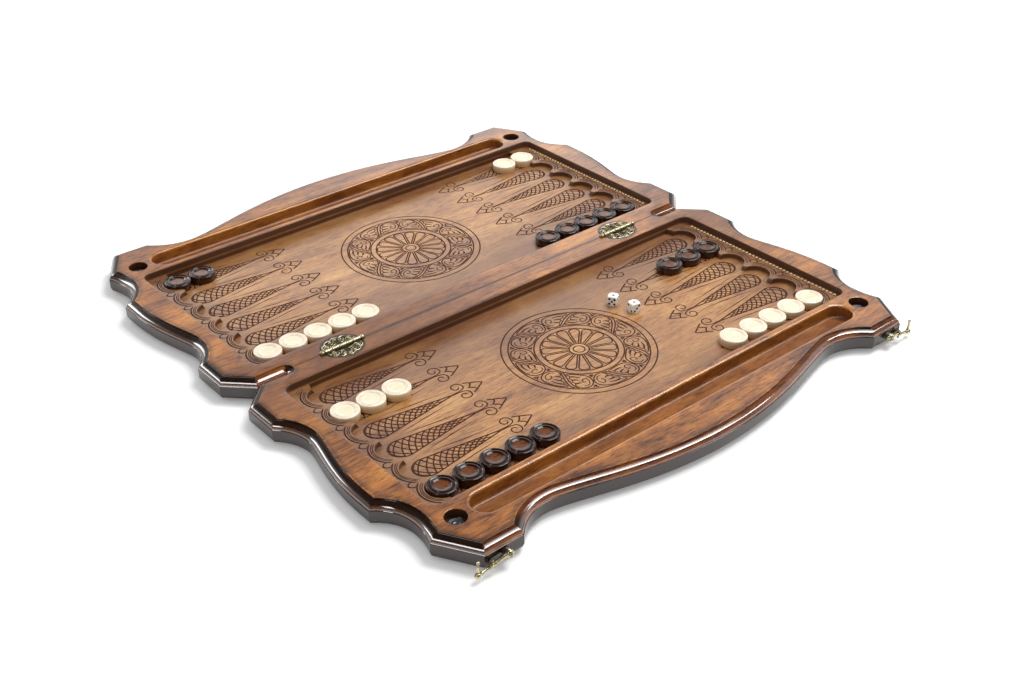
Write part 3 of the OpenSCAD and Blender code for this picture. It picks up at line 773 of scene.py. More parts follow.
def boardWood(name, look, zone):
    material, tree = newMaterial(name)
    place = tree.place()
    tone, figure, pores = woodFigure(tree, place, look)
    x, across, z = tree.axes(place)
    along, y = abs(x), abs(across)
    size = Look((label, value * mm) for label, value in leafLook.items())
    rough = pores * 0.16 + (look.rough - 0.08)
    fixed = {"Coat Roughness": look.gloss, "Specular IOR Level": look.shine}
    linked = {}
    cloud = tree.noise(place, (14.0, 18.0, 18.0), 4.0, 0.6)
    if zone == "rim":      # stain gathers at the moulding; painted shade in the trough, in the wells, round the hinge plates and by the seam; painted highlight on the trough's lip
        # painted shade: a darker, deeper tone low in the trough and the wells
        sunkShade = tree.span(z, 0.0228, 0.020) * look.sink
        tone = tree.blend(sunkShade, tone, tint(look.deep))
        well = (along - size.wellX) ** 2.0 + (y - size.troughY) ** 2.0
        well = tree.span(well, 1.25e-4, 1.05e-4)
        # painted highlight: a paler tone on the trough's rounded lip
        lip = tree.span(z, 0.0222, 0.0232) * tree.span(z, 0.02397, 0.0238) * (1.0 - well)
        tone = tree.blend(lip * 0.2, tone, tint(look.lip))
        rough = rough - lip * 0.2
        outer = tree.span(tree.attribute("inset") + cloud * 8.0, 11.0, 3.0) * 0.7
        # painted shade on the walls of the wells
        well = well * tree.span(z, 0.02399, 0.0232) * 0.92
        bedX, bedHalf, bedReach = look.bed      # painted shadow round the hinge plates
        bed = ((along - bedX) / bedHalf) ** 2.0 + (y / bedReach) ** 2.0
        bed = tree.span(bed, 1.2, 1.04) * 0.97
        # painted shade at the near board's end corners by the seam, and along the seam on the left half
        cornerShade = tree.span(along, 0.19, 0.262) * tree.span(y + cloud * 0.06, 0.16, 0.05)
        cornerShade = cornerShade * tree.span(across, 0.03, -0.03)
        seam = tree.span(x, 0.06, -0.12) * tree.span(y, 0.05, 0.022)
        tone = tree.blend(cornerShade.most(seam) * 0.6, tone, tint(look.shade))
        # stain along the moulding, painted shade in the wells and round the hinge plates
        tone = tree.blend(outer.most(well).most(bed), tone, tint(look.stain))
        polish = tree.span(x, -0.22, 0.25) * 0.75 + look.coat        # worn thinner at the left
        linked["Coat Weight"] = tree.span(z, 0.0220, 0.0236) * polish
    if zone == "field":    # darker towards the walls, black-brown in the cuts, pale on the rope; painted sheen in patches, painted shade on the walls
        wall = (y - size.fieldNear).math("MINIMUM", size.fieldFar - y)
        wall = wall.math("MINIMUM", (size.fieldHalf - along) * 0.62)
        towardWalls = tree.span(wall + cloud * 0.05, 0.08, 0.022) * 0.66
        towardWalls = towardWalls.most(tree.span(y + cloud * 0.09, 0.19, 0.06) * 0.7)
        rise = tree.span(z, 0.0112, 0.0125) - tree.span(z, 0.0152, 0.0163) + tree.span(z, 0.0168, 0.0185)
        # painted sheen: mauve patches at random
        haze = tree.span(tree.noise(place, (3.0, 13.0, 13.0), 5.0, 0.6, 0.5), 0.45, 0.65) * 0.5
        tone = tree.blend(haze, tone, tint(look.haze))
        tone = tree.blend(towardWalls, tone, tint(look.burn))
        # painted shade on the field walls and the niche walls
        tone = tree.blend(rise * 0.9, tone, tint(look.wall))
        cut = tree.span(tree.attribute("cut"), 0.02, 0.3) * 0.97
        tone = tree.blend(cut, tone, tint(look.cut))
        rope = tree.span(tree.attribute("inset"), 25.0, 5.0) * tree.span(z, 0.0164, 0.0174)
        tone = tree.blend(rope * 0.85, tone, tint(look.rope))
        rough = rough + cut * 0.5
        linked["Coat Weight"] = (1.0 - cut) * (1.0 - rise) * look.coat
    if zone == "edge":     # black above the bead, partly as painted shade, red-brown on it, dark flat below; end grain drinks more stain
        side = tree.span(z, 0.0002, 0.0008)      # none of it on the underside
        grain = tree.span(tree.attribute("grain") + cloud * 0.2, 0.5, 0.75) * side
        # painted shade: the stain is deepened above the bead
        upper = tree.span(z, 0.0196, 0.0212) * (grain * 0.66 + 0.3)
        flat = tree.span(z, 0.0173, 0.0167) * side * 0.95
        tone = tree.blend((grain * 0.64).most(upper).most(flat), tone, tint(look.stain))
        fixed["Coat IOR"] = 2.0
        gleam = (1.0 - tree.span(z, 0.0214, 0.0223) * 0.85) * (1.0 - tree.span(z, 0.0172, 0.0167) * 0.5)
        linked["Coat Weight"] = gleam * tree.span(z, 0.0, 0.0012) * look.coat
    linked.update({"Base Color": tone, "Roughness": rough, "Normal": tree.bump(figure, look.bump, 0.0004)})
    finishMaterial(tree, fixed, linked)
    return material


rimWood, fieldWood, edgeWood = (boardWood(f"{zone}Wood", look, zone) for zone, look in woodLooks.items())
print("materials made:", len(bpy.data.materials))


def loopGap(xy, loop):
    return lineGap(xy, np.vstack([loop, loop[:1]]))[0].min(1)


def leafMesh(name, k):
    bm = newForm("cut", "inset", "grain")
    outline = splitCorners(topOutline(k))
    normal = outwards(outline)
    normal[[0, -1]] = (1, 0), (-1, 0)
    section = edgeSection(k)
    t = k.thickness
    levels = [(o, t - d) for o, d in section] + [(o, d) for o, d in reversed(section)]
    shells, loops = [], []
    for offset, z in levels:
        loop = outline + normal * offset
        loops.append(loop)
        shells.append(ring(bm, loop, z))
        for vert, n in zip(shells[-1], normal):
            vert[bm.verts.layers.float["grain"]] = abs(n[0]) / math.hypot(*n)
    stack(bm, shells, 2)
    carvedSheet(bm, loops[-1], 0.0, 2)
    half, near, far, r = k.fieldHalf, k.fieldNear, k.fieldFar, k.fieldRound

    # field wall down to the band, split at the ends of the floor
    joint = k.nicheX

    def fieldLoop(grow):
        low1, high1, high0, low0 = roundRect(-half, half, near, far, r, grow)
        return np.vstack([[(joint, near - grow)], low1, high1, [(joint, far + grow)],
                          [(-joint, far + grow)], high0, low0, [(-joint, near - grow)]])

    lip = k.fieldLip
    steps = [(lip - lip * math.sin(a), t - lip + lip * math.cos(a)) for a in np.radians((0, 30, 60, 90))]
    walls = [ring(bm, fieldLoop(g), z) for g, z in steps]
    walls.append(ring(bm, fieldLoop(0.0), k.band))
    stack(bm, walls, 1)
    fieldTop = fieldLoop(lip)

    # band with its carving, niche walls and the floor
    upper, lower = nicheEdge(k, 0.5, k.noseBack), nicheEdge(k, 0.0, 0.0)
    upper[0], upper[-1] = lower[0], lower[-1]
    end = fieldLoop(0.0)[:20]
    for sign in (1, -1):
        flip = np.array((sign, 1))
        edge = np.vstack([end, upper[::-1][1:-1]])
        cut = [Look(s, points=s.points * flip) for s in bandStrokes(k, bandLook)]
        carvedSheet(bm, edge * flip, k.band, 1, cut, k.cutSlope)
        rows = [ring(bm, upper * flip, k.band)]
        foot = k.floor
        for share, z in ((0.25, k.band - 0.7), (0.8, foot + 1.2), (1.0, foot)):
            rows.append(ring(bm, (upper + (lower - upper) * share) * flip, z))
        stack(bm, rows, 1, False)
    for y in (near, far):
        levelsAtEnd = (k.band, k.band - 0.7, k.floor + 1.2, k.floor)
        for z0, z1 in zip(levelsAtEnd, levelsAtEnd[1:]):
            face = bm.faces.new([bm.verts.new(c) for c in
                                 ((-joint, y, z0), (joint, y, z0), (joint, y, z1), (-joint, y, z1))])
            face.material_index = 1
    floorLoop = np.vstack([lower, (lower * (-1, 1))[::-1]])
    cuts = []
    motif = motifStrokes(motifLook)
    for p in range(k.points):
        for sign in (1, -1):
            cuts += placed(motif, sign, pointCentre(k, p))
    cuts += placed(wheelStrokes(wheelLook), 1, (near + far) / 2)
    carvedSheet(bm, floorLoop, k.floor, 1, cuts, k.cutSlope)

    # trough with its slanted lip and a small cove at the foot
    foot = k.troughFoot
    steps = [(k.lipW * (1 - math.sin(a)), t - k.lipH * (1 - math.cos(a)))
             for a in np.radians((0, 12, 25, 38, 52, 66, 79, 90))]
    steps += [(-foot * (1 - math.cos(a)), k.troughFloor + foot * (1 - math.sin(a)))
              for a in np.radians((0, 25, 50, 70, 90))]
    trough = lambda grow: stadium(k.troughHalf, k.troughW, k.troughY, grow)
    stack(bm, [ring(bm, trough(g), z) for g, z in steps], 0)
    carvedSheet(bm, trough(-foot), k.troughFloor, 0)

    # wells
    holes = [fieldTop, trough(k.lipW)]
    for sign in (1, -1):
        centre = (sign * k.wellX, k.troughY)
        circle = lambda grow: arc(centre, k.wellR + grow, 0, 352.5, 47)
        foot, deep = k.wellFoot, k.wellFloor
        steps = [(k.wellLip, t), (0.2, t - 0.25), (0.0, t - 0.8), (0.0, deep + foot), (-foot, deep)]
        stack(bm, [ring(bm, circle(g), z) for g, z in steps], 0)
        carvedSheet(bm, circle(-foot), deep, 0)
        holes.append(circle(k.wellLip))
    moulded = loops[0][1:-1]
    spots = np.vstack([moulded - normal[1:-1] * gap for gap in (1.5, 3.5, 6.0, 9.0, 13.0, 18.0)])
    for loop, inside in [(loops[0], True)] + [(hole, False) for hole in holes]:
        spots = spots[(insideLoop(spots, loop) == inside) & (loopGap(spots, loop) > k.spotGap)]
    rest = len(bm.verts)
    carvedSheet(bm, loops[0], t, 0, holes=holes, extra=spots)
    inset = bm.verts.layers.float["inset"]
    bm.verts.ensure_lookup_table()
    for vert in bm.verts[:rest]:
        vert[inset] = 30.0
    top = bm.verts[rest:]
    for vert, gap in zip(top, lineGap(np.array([vert.co.xy for vert in top]), moulded)[0].min(1)):
        vert[inset] = gap
    return closeMesh(bm, name)


baseLeaf = leafMesh("leafForm", leafLook)
print("leaf shaped")


# swept, turned and repeated forms, made by node trees

def startTree(name, **inputs):
    group = bpy.data.node_groups.new(name, "GeometryNodeTree")
    for label, kind in inputs.items():
        group.interface.new_socket(name=label, in_out="INPUT", socket_type=f"NodeSocket{kind}")
    group.interface.new_socket(name="Geometry", in_out="OUTPUT", socket_type="NodeSocketGeometry")
    tree = NodeTree(group)
    return tree, tree.add("NodeGroupInput").out


def endTree(tree, shape, finish):
    real = tree.add("GeometryNodeRealizeInstances", {}, {0: shape})
    done = tree.add("GeometryNodeSetMaterial", {}, {"Geometry": real, "Material": finish})
    tree.add("NodeGroupOutput", {}, {0: done})
    return tree.tree


# profile points (radius, 0, height) spun round Z, then turned and moved to their place
def turnedTree():
    tree, given = startTree("turnedForm", Profile="Object", Sides="Int", Turn="Vector", Place="Vector",
                            Finish="Material")
    profile = tree.shapeOf(given("Profile"))
    count = tree.add("GeometryNodeAttributeDomainSize", {"component": "MESH"}, {0: profile})
    grid = tree.add("GeometryNodeMeshGrid", {}, {"Size X": 1.0, "Size Y": 1.0, "Vertices X": count,
                                                 "Vertices Y": given("Sides") + 1.0})
    here = tree.add("GeometryNodeInputPosition")
    x, y, _ = tree.axes(here)
    angle = (y + 0.5) * (2 * math.pi)
    point = tree.add("GeometryNodeSampleIndex", {"data_type": "FLOAT_VECTOR"}, {
        "Geometry": profile, "Value": here, "Index": ((x + 0.5) * (count - 1.0)).math("ROUND")})
    radius, _, height = tree.axes(point)
    spun = tree.add("ShaderNodeCombineXYZ", {}, {0: radius * angle.math("COSINE"), 1: radius * angle.math("SINE"),
                                                 2: height})
    shape = tree.add("GeometryNodeSetPosition", {}, {"Geometry": grid, "Position": spun})
    shape = tree.add("GeometryNodeMergeByDistance", {}, {"Geometry": shape, "Distance": 2e-6})
    flat = tree.add("ShaderNodeVectorMath", {"operation": "MULTIPLY"}, {0: here, 1: (1, 1, 0)})
    shape = tree.add("GeometryNodeStoreNamedAttribute", {"data_type": "FLOAT", "domain": "POINT"},
                     {"Geometry": shape, "Name": "radius", "Value": tree.length(flat)})
    shape = tree.add("GeometryNodeTransform", {}, {"Geometry": shape, "Translation": given("Place"),
                                                   "Rotation": tree.turned(given("Turn"))})
    return endTree(tree, shape, given("Finish"))


# round rod along the edges of a path object, thinned to its end
def rodTree():
    tree, given = startTree("bentRod", Path="Object", Radius="Float", EndShare="Float", Sides="Int",
                            Finish="Material")
    curve = tree.add("GeometryNodeMeshToCurve", {}, {0: tree.shapeOf(given("Path"))})
    share = tree.add("GeometryNodeSplineParameter")
    radius = given("Radius") * (1.0 - share * (1.0 - given("EndShare")))
    section = tree.add("GeometryNodeCurvePrimitiveCircle", {}, {"Resolution": given("Sides"), "Radius": 1.0})
    shape = tree.add("GeometryNodeCurveToMesh", {}, {"Curve": curve, "Profile Curve": section, "Fill Caps": True,
                                                     "Scale": radius})
    return endTree(tree, shape, given("Finish"))


# one form on each point of an object, sized and turned about Z
def scatter(tree, given, form, spin, size):
    cloud = tree.add("GeometryNodeMeshToPoints", {}, {0: tree.shapeOf(given("Points"))})
    turn = tree.turned(tree.add("ShaderNodeCombineXYZ", {}, {2: spin}))
    shape = tree.add("GeometryNodeInstanceOnPoints", {}, {"Points": cloud, "Instance": form, "Rotation": turn,
                                                          "Scale": size})
    return endTree(tree, shape, given("Finish"))


# screws, each turned its own way
def screwTree():
    tree, given = startTree("screwSet", Points="Object", Screw="Object", Seed="Int", Finish="Material")
    spin = tree.add("FunctionNodeRandomValue", {"data_type": "FLOAT"}, {2: 0.0, 3: math.pi, 8: given("Seed")}, 1)
    return scatter(tree, given, tree.shapeOf(given("Screw")), spin, (1, 1, 1))


# rope of slanted beads
def ropeTree():
    tree, given = startTree("ropeBeads", Points="Object", Size="Vector", Lean="Float", Finish="Material")
    bead = tree.add("GeometryNodeMeshUVSphere", {}, {"Segments": 10, "Rings": 6, "Radius": 1.0})
    x = tree.axes(tree.add("GeometryNodeInputPosition"))[0]
    return scatter(tree, given, bead, x.math("SIGN") * given("Lean"), given("Size"))


turnedForm, bentRod, screwSet, ropeBeads = turnedTree(), rodTree(), screwTree(), ropeTree()


def guide(name, points, linked=False):
    mesh = bpy.data.meshes.new(name)
    edges = [(i, i + 1) for i in range(len(points) - 1)] if linked else []
    mesh.from_pydata([tuple(c * mm for c in p) for p in points], edges, [])
    return addObject(name, mesh)


def evaluated(thing):
    return bpy.data.meshes.new_from_object(thing.evaluated_get(bpy.context.evaluated_depsgraph_get()))


def grown(group, helper, **values):
    shape = addObject("grown", bpy.data.meshes.new("grown"))
    modifier = shape.modifiers.new("grown", "NODES")
    modifier.node_group = group
    for item in group.interface.items_tree:
        if item.in_out == "INPUT" and item.name in values:
            modifier[item.identifier] = values[item.name]
    shape.update_tag()
    mesh = evaluated(shape)
    shape.modifiers.remove(modifier)
    for thing in (shape, helper):
        bpy.data.objects.remove(thing)
    return mesh


def turned(profile, finish, place=(0, 0, 0), turn=(0, 0, 0), sides=48):
    shape = guide("profile", [(r, 0, z) for r, z in profile])
    return grown(turnedForm, shape, Profile=shape, Sides=sides, Turn=turn, Finish=finish,
                 Place=tuple(c * mm for c in place))


def rod(points, radius, endShare, finish, sides=14):
    path = guide("path", points, True)
    return grown(bentRod, path, Path=path, Radius=radius * mm, EndShare=endShare, Sides=sides, Finish=finish)


def cutAway(blank, cutter):
    cut = blank.modifiers.new("cut", "BOOLEAN")
    cut.operation, cut.solver, cut.object = "DIFFERENCE", "MANIFOLD", cutter
    made = evaluated(blank)
    for thing in (blank, cutter):
        bpy.data.objects.remove(thing)
    return made


def joined(name, meshes, material, sharp=38, move=None):
    bm = newForm("radius", "raised")
    for mesh in meshes:
        bm.from_mesh(mesh)
    bmesh.ops.recalc_face_normals(bm, faces=bm.faces)
    for face in bm.faces:
        face.smooth = True
        face.material_index = 0
    if move is not None:
        bmesh.ops.transform(bm, matrix=move, verts=bm.verts)
    mesh = meshOf(bm, name)
    mesh.materials.clear()
    mesh.materials.append(material)
    mesh.set_sharp_from_angle(angle=math.radians(sharp))
    return mesh


# the two boards

boardLook = Look(
    hingeX=177.0, hingeZ=24.8, barrelR=2.8, barrelHalf=24.8, boreY=294.5, boreZ=12.0, boreDeep=14.0,
    pivotBore=(237.25, 2.7), studBore=(233.85, 3.1), ropeTurn=-0.35)


# room for the hinge barrels, and the bores for the clasp screws or the studs
def boardCutters(side, boreX, boreW, k):
    half, r, deep = k.barrelHalf, k.barrelR, k.boreDeep
    shapes = [turned([(0, -half), (r, -half), (r, half), (0, half)], rimWood, (s * k.hingeX, 0, k.hingeZ),
                     (0, quarter, 0), 32) for s in (-1, 1)]
    shapes += [turned([(0, 0), (boreW / 2, 0), (boreW / 2, deep), (0, deep)], rimWood,
                      (s * boreX, side * k.boreY, k.boreZ), (-side * quarter, 0, 0), 24) for s in (-1, 1)]
    return addObject("cutter", joined("cutter", shapes, rimWood))


def makeBoard(name, node, side, boreX, boreW):
    mesh = baseLeaf.copy()
    if side < 0:
        mesh.transform(Matrix.Scale(-1, 4, (0, 1, 0)))
        mesh.flip_normals()
    for material in (rimWood, fieldWood, edgeWood):
        mesh.materials.append(material)
    made = cutAway(addObject("blank", mesh), boardCutters(side, boreX, boreW, boardLook))
    bm = bmesh.new()
    bm.from_mesh(made)
    carved = len(bm.faces)
    b = bandLook
    spots = guide("spots", [(sign * b.ropeX, side * (y + b.ropePitch / 2), b.ropeZ)
                            for sign in (-1, 1) for y in ropePlaces(leafLook, b)])
    bm.from_mesh(grown(ropeBeads, spots, Points=spots, Size=tuple(c * mm for c in b.ropeSize),
                       Lean=side * boardLook.ropeTurn, Finish=fieldWood))
    bm.faces.ensure_lookup_table()
    for face in bm.faces[carved:]:
        face.material_index, face.smooth = 1, True
    bm.to_mesh(made)
    bm.free()
    made.name = name
    made.set_sharp_from_angle(angle=math.radians(25))
    print(name, len(made.polygons), "faces,", len(made.materials), "woods")
    putPiece(name, made, node, [node])


makeBoard("nearBoard", "near_leaf", -1, *boardLook.pivotBore)
makeBoard("farBoard", "far_leaf", 1, *boardLook.studBore)
print("boards carved")


# checkers

checkerShape = Look(
    radius=13.5, height=8.0, edge=1.2, foot=0.5,
    light=[(11.9, 0.0), (11.5, 0.3), (11.1, 0.0), (10.3, 0.0), (9.9, 0.4), (9.5, 0.05), (9.0, 0.1), (8.6, 0.5),
           (7.6, 0.72), (5.5, 0.8), (2.5, 0.82)],
    dark=[(12.1, 0.0), (11.6, 0.15), (11.2, 0.6), (10.6, 0.7), (10.0, 0.6), (9.6, 0.1), (9.0, 0.0), (8.3, 0.05),
          (7.8, 0.4), (7.2, 0.75), (5.0, 0.9), (2.5, 0.95)])


def checkerProfile(look, colour):
    r, h, e, f = look.radius, look.height, look.edge, look.foot
    low = [(0, 0), (r - f - 3, 0)]
    low += [(r - f + f * math.sin(a), f - f * math.cos(a)) for a in np.radians((0, 30, 60, 90))]
    high = [(r - e + e * math.cos(a), h - e + e * math.sin(a)) for a in np.radians((0, 18, 36, 54, 72, 90))]
    face = [(p, h - d) for p, d in look[colour]]
    return low + high + face + [(0, face[-1][1])]


for colour, finish in turnedWoods.items():
    profile = checkerProfile(checkerShape, colour)
    for i in range(1, 16):
        node = f"{colour}_checker_{i:02d}"
        low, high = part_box(node)
        centre = (low + high) / 2
        shape = turned(profile, finish, (centre.x / mm, centre.y / mm, low.z / mm), (0, 0, i * 0.7), 64)
        mesh = joined(node, [shape], finish, 40)
        putPiece(f"{colour}Checker{i:02d}", mesh, node, [node])
print("checkers turned")


# dice

dieShape = Look(
    size=10.0, ball=7.4, grid=40, pip=1.2, step=2.6, depth=0.34,
    places={"die_1": (82, -93, 30, 5, 4), "die_2": (88, -116, -8, 2, 3)},
    floor=11.0)


def pipSpots(count, step):
    spots = [(0, 0)] if count % 2 else []
    for need, spot in ((1, (1, 1)), (3, (1, -1)), (5, (1, 0))):
        if count > need:
            spots += [(spot[0] * step, spot[1] * step), (-spot[0] * step, -spot[1] * step)]
    return spots


def makeDie(node, look):
    x, y, yaw, left, front = look.places[node]
    half, steps = look.size / 2, look.grid
    turns = [((0, 0, 0), 1), ((math.pi, 0, 0), 6), ((0, -quarter, 0), left), ((0, quarter, 0), 7 - left),
             ((quarter, 0, 0), front), ((-quarter, 0, 0), 7 - front)]
    bm = newForm("pip")
    pip = bm.verts.layers.float["pip"]
    line = np.linspace(-half, half, steps + 1)
    for turn, count in turns:
        spots = pipSpots(count, look.step)
        way = Euler(turn).to_matrix()
        rows = []
        for a in line:
            row = []
            for b in line:
                p = Vector((a, b, half))
                if p.length > look.ball:
                    p *= look.ball / p.length
                near = min(math.hypot(a - s, b - t) for s, t in spots) / look.pip
                if near < 1:
                    p.z -= look.depth * math.sqrt(1 - near * near)
                vert = bm.verts.new(way @ p)
                vert[pip] = 1.0 if near < 1.02 else 0.0
                row.append(vert)
            rows.append(row)
        for i in range(steps):
            for j in range(steps):
                bm.faces.new((rows[i][j], rows[i + 1][j], rows[i + 1][j + 1], rows[i][j + 1])).smooth = True
    place = Matrix.Translation((x, y, look.floor + half)) @ Matrix.Rotation(math.radians(yaw), 4, "Z")
    bmesh.ops.transform(bm, matrix=place, verts=bm.verts)
    mesh = closeMesh(bm, node, merge=0.01)
    mesh.materials.append(dieWhite)
    mesh.set_sharp_from_angle(angle=math.radians(40))
    putPiece(node.replace("_", ""), mesh, node, [node])


for node in dieShape.places:
    makeDie(node, dieShape)
print("dice made")


# hinges

hingeLook = Look(
    x=177.0, axis=24.8, top=24.1, bottom=23.2, knuckle=7.8, gap=0.3, outer=2.2, bore=1.08, pin=1.0, ball=2.5,
    halfW=19.5, rise=0.55, screws=[(-12.5, 6.5), (0, 14), (12.5, 6.5)])


def plateOutline():
    lobe = smoothLine([(19.3, 2.5), (19.5, 6.0), (18.2, 9.8), (13.8, 11.9)], 7)
    wing = smoothLine([(13.8, 11.9), (12.4, 14.2), (9.2, 15.6), (5.6, 14.9)], 6)
    peak = smoothLine([(5.6, 14.9), (3.6, 16.4), (0.0, 18.0)], 6)
    half = np.vstack([lobe, wing[1:], peak[1:]])
    return np.vstack([half, half[-2::-1] * (-1, 1)])


def plateStrokes(outline):
    middle = np.array((0, 7.5))
    border = outline + (middle - outline) * 0.1
    made = [stroke(border, 1.3)]
    for sign in (1, -1):
        flip = np.array((sign, 1))
        for curl in (((12.5, 6.5), 20, 470, 4.6, 2.3), ((6.0, 10.2), 200, -520, 3.0, 0.9),
                     ((16.6, 5.0), 250, 300, 1.9, 0.8)):
            made.append(stroke(spiral(*curl, 34) * flip, 0.95, 1.0))
        for leaf in ([(2.2, 7.2), (3.4, 9.4), (2.6, 12.0), (1.2, 13.0)],
                     [(8.8, 3.4), (7.2, 5.4), (4.6, 6.4), (2.0, 6.2)]):
            made.append(stroke(smoothLine(leaf, 5) * flip, 0.9, 1.2))
    for x in np.arange(-7.0, 7.1, 1.75):
        made.append(stroke([(x, 2.9), (x, 4.8)], 0.8, 0.4))
    return made


# turned about the hinge's axis, rubbed bright all over
def barrel(profile, x, sides, look):
    mesh = turned(profile, metals.hingeBrass, (x, 0, look.axis), (0, quarter, 0), sides)
    mesh.attributes.new("raised", "FLOAT", "POINT").data.foreach_set("value", [1.0] * len(mesh.vertices))
    return mesh


def knuckleTube(look, x):
    half = (look.knuckle - look.gap) / 2
    a, b = look.bore, look.outer
    ringed = [(a, -half), (b - 0.25, -half), (b, -half + 0.25), (b, -half + 1.0), (b - 0.2, -half + 1.25),
              (b - 0.2, half - 1.25), (b, half - 1.0), (b, half - 0.25), (b - 0.25, half), (a, half), (a, -half)]
    return barrel(ringed, x, 28, look)


def makePlate(name, node, body, side, x, own, look):
    outline = plateOutline()
    bm = newForm("raised")
    carvedSheet(bm, outline, look.top, 0, plateStrokes(outline), -look.rise)
    carvedSheet(bm, outline, look.bottom, 0)
    bridge(bm, ring(bm, outline, look.top), ring(bm, outline, look.bottom), 0)
    for k in own:          # straps from the plate to its knuckles
        c = (k - 2) * look.knuckle
        w = (look.knuckle - look.gap) / 2
        strap = [(c - w, 1.2), (c + w, 1.2), (c + w, 2.7), (c - w, 2.7)]
        for level in (look.top, look.bottom):
            carvedSheet(bm, strap, level, 0)
        bridge(bm, ring(bm, strap, look.top), ring(bm, strap, look.bottom), 0)
    plate = closeMesh(bm, node)
    tubes = [knuckleTube(look, (k - 2) * look.knuckle) for k in own]
    move = Matrix.Translation((x * mm, 0, 0)) @ Matrix.Scale(side, 4, (0, 1, 0))
    mesh = joined(node, [plate] + tubes, metals.hingeBrass, 30, move)
    if side < 0:
        mesh.flip_normals()
    putPiece(name, mesh, body, [node])


def makePin(name, node, x, look):
    half, r, b = look.halfW + 0.3, look.pin, look.ball
    cap = [(b * math.sin(a), -half - b + 0.1 - b * math.cos(a)) for a in np.radians(np.linspace(0, 155, 12))]
    lower = cap + [(r, -half + 0.4)]
    profile = lower + [(p, -z) for p, z in reversed(lower)]
    pin = joined(node, [barrel(profile, x, 32, look)], metals.hingeBrass)
    putPiece(name, pin, "near_leaf", [node])


for label, x in (("left", -hingeLook.x), ("right", hingeLook.x)):
    makePlate(f"{label}HingeNearPlate", f"{label}_hinge_near_plate", "near_leaf", -1, x, (0, 2, 4), hingeLook)
    makePlate(f"{label}HingeFarPlate", f"{label}_hinge_far_plate", "far_leaf", 1, x, (1, 3), hingeLook)
    makePin(f"{label}HingePin", f"{label}_hinge_pin", x, hingeLook)

screwShape = Look(head=1.8, dome=0.45, shank=0.9, length=8.6, slotW=0.42, slotD=0.4, level=24.15, seed=7)


def makeScrewForm(look):
    h, d, s, end = look.head, look.dome, look.shank, -look.length
    profile = [(0, end), (s * 0.5, end + 0.8), (s, end + 2.2), (s, -0.9), (h, -0.05), (h, 0.05)]
    profile += [(h * math.cos(a), 0.05 + d * math.sin(a)) for a in np.radians((25, 50, 70))] + [(0, 0.05 + d)]
    brass = metals.screwBrass
    screw = addObject("screw", joined("screw", [turned(profile, brass, sides=28)], brass))
    bm = bmesh.new()
    bmesh.ops.create_cube(bm, size=1.0)
    bmesh.ops.transform(bm, verts=bm.verts, matrix=Matrix.Translation((0, 0, 0.05 * mm + d * mm))
                        @ Matrix.Diagonal((4 * h * mm, look.slotW * mm, 2 * look.slotD * mm, 1)))
    return addObject("screw", cutAway(screw, addObject("slot", meshOf(bm, "slot"))))


screwForm = makeScrewForm(screwShape)
for label, side in (("near", -1), ("far", 1)):
    spots = guide("spots", [(s * hingeLook.x + p, side * q, screwShape.level)
                            for s in (-1, 1) for p, q in hingeLook.screws])
    group = grown(screwSet, spots, Points=spots, Screw=screwForm, Seed=screwShape.seed + side,
                  Finish=metals.screwBrass)
    node = f"hinge_screws_{label}"
    mesh = joined(node, [group], metals.screwBrass, 30)
    putPiece(f"{label}HingeScrews", mesh, f"{label}_leaf", [node])
bpy.data.objects.remove(screwForm)
print("hinges made")


# clasps: hook, pivot screw and spacer on the near board, stud on the far one

claspLook = Look(
    x=237.25, face=306.5, level=12.0, droop=11.0, armY=3.75, eyeBack=2.05, eyeFront=5.45, eye=4.0, bore=1.38,
    length=31.0, ball=2.6, prongAt=28.9, studX=233.85)


def hookMeshes(look, side):
    brass = metals.claspBrass
    b, f, e, bore = look.eyeBack, look.eyeFront, look.eye, look.bore
    eye = [(bore, b), (e - 0.7, b), (e - 0.2, b + 0.3), (e, b + 1.0), (e, f - 1.0), (e - 0.2, f - 0.3),
           (e - 0.7, f), (bore, f), (bore, b)]
    shapes = [turned(eye, brass, turn=(-quarter, 0, 0), sides=40)]
    ball, top = look.ball, look.length
    arm = [(0, 3.0), (2.0, 3.0), (2.0, 4.5), (1.8, 7.0), (1.5, 10.5), (1.5, 12.2), (2.0, 12.8), (2.0, 13.4),
           (1.5, 13.8), (2.5, 14.8), (2.5, 16.2), (1.5, 17.2), (2.0, 17.6), (2.0, 18.2), (1.5, 18.8), (1.35, 21.0),
           (1.3, 25.0), (1.6, 27.0), (1.9, 27.5), (1.5, 28.1)]
    arm += [(ball * math.sin(a), top - ball * math.cos(a)) for a in np.radians(np.linspace(40, 180, 10))]
    arm[-1] = (0, arm[-1][1])
    shapes.append(turned(arm, brass, (0, look.armY, 0), sides=28))
    y = look.armY
    for s in (-1, 1):      # cross spurs on the collar
        spur = [(0, 0), (0.95, 0), (0.8, 3.0), (1.1, 3.5), (0.75, 4.1), (0, 4.4)]
        shapes.append(turned(spur, brass, (0, y, 15.5), (0, s * quarter, 0), 18))
    z = look.prongAt
    prong = smoothLine([(0.4 * side, y, z), (3.6 * side, y, z + 0.6), (7.4 * side, y, z + 0.5),
                        (11.4 * side, y, z - 0.7)], 6)
    shapes.append(rod(prong, 1.5, 0.6, brass, 16))
    knob = [(1.5 * math.sin(a), -1.5 * math.cos(a)) for a in np.radians(np.linspace(0, 180, 9))]
    shapes.append(turned(knob, brass, (11.8 * side, y, z - 0.8), sides=16))
    return shapes


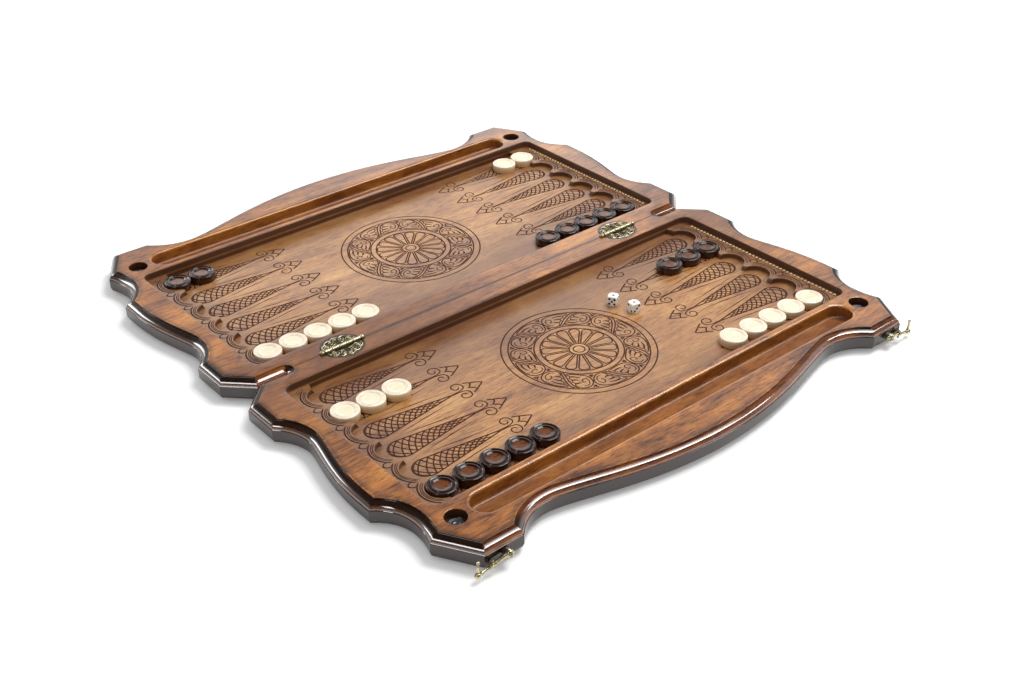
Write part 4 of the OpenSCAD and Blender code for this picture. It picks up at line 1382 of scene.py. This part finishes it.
# turned post with a domed head, its foot in the board
def makePost(name, node, body, profile, rise, at):
    r, z = profile[-1]
    profile += [(r * math.cos(a), z + rise * math.sin(a)) for a in np.radians((20, 40, 60, 78))] + [(0, z + rise)]
    post = turned(profile, metals.claspBrass, turn=(-quarter, 0, 0), sides=36)
    putPiece(name, joined(node, [post], metals.claspBrass, 35, at), body, [node])


for label, side in (("left", -1), ("right", 1)):
    k = claspLook
    face, level = k.face * mm, k.level * mm
    at = Matrix.Translation((side * k.x * mm, -face, level)) @ Matrix.Rotation(math.pi, 4, "Z")
    swung = at @ Matrix.Rotation(math.radians(-side * (90 + k.droop)), 4, "Y")
    hook = joined(f"{label}Hook", hookMeshes(k, side), metals.claspBrass, 35, swung)
    putPiece(f"{label}ClaspHook", hook, f"{label}_hook", [f"{label}_clasp_hook"])
    f = k.eyeFront + 0.05
    screw = [(0, -11.9), (0.6, -11.9), (1.3, -10.5), (1.3, f), (3.5, f), (3.6, f + 0.35)]
    makePost(f"{label}ClaspScrew", f"{label}_clasp_screw", "near_leaf", screw, 2.0, at)
    stud = [(0, -11.9), (0.7, -11.9), (1.5, -10.3), (1.5, 5.5), (1.7, 5.7), (3.3, 5.75), (3.5, 6.1)]
    there = Matrix.Translation((side * k.studX * mm, face, level))
    makePost(f"{label}CatchStud", f"{label}_catch_stud", "far_leaf", stud, 1.8, there)
    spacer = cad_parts[f"{label}_clasp_spacer"].data.materials
    spacer.clear()
    spacer.append(metals.spacerSteel)
print("clasps made")


# discs in the wells

discProfile = [(0, 0), (6.3, 0), (6.7, 0.4), (6.7, 1.9), (6.45, 2.25), (5.9, 2.3), (5.5, 2.2), (5.2, 1.7),
               (4.6, 1.6), (2.6, 1.6), (2.3, 1.75), (2.0, 1.6), (0, 1.6)]
for leaf, y in (("near", -leafLook.troughY), ("far", leafLook.troughY)):
    for label, x in (("left", -leafLook.wellX), ("right", leafLook.wellX)):
        node = f"{leaf}_{label}_well_disc"
        disc = turned(discProfile, metals.discSteel, (x, y, leafLook.wellFloor), sides=48)
        mesh = joined(node, [disc], metals.discSteel, 30)
        putPiece(f"{leaf}{label.title()}WellDisc", mesh, f"{leaf}_leaf", [node])
print("discs made")
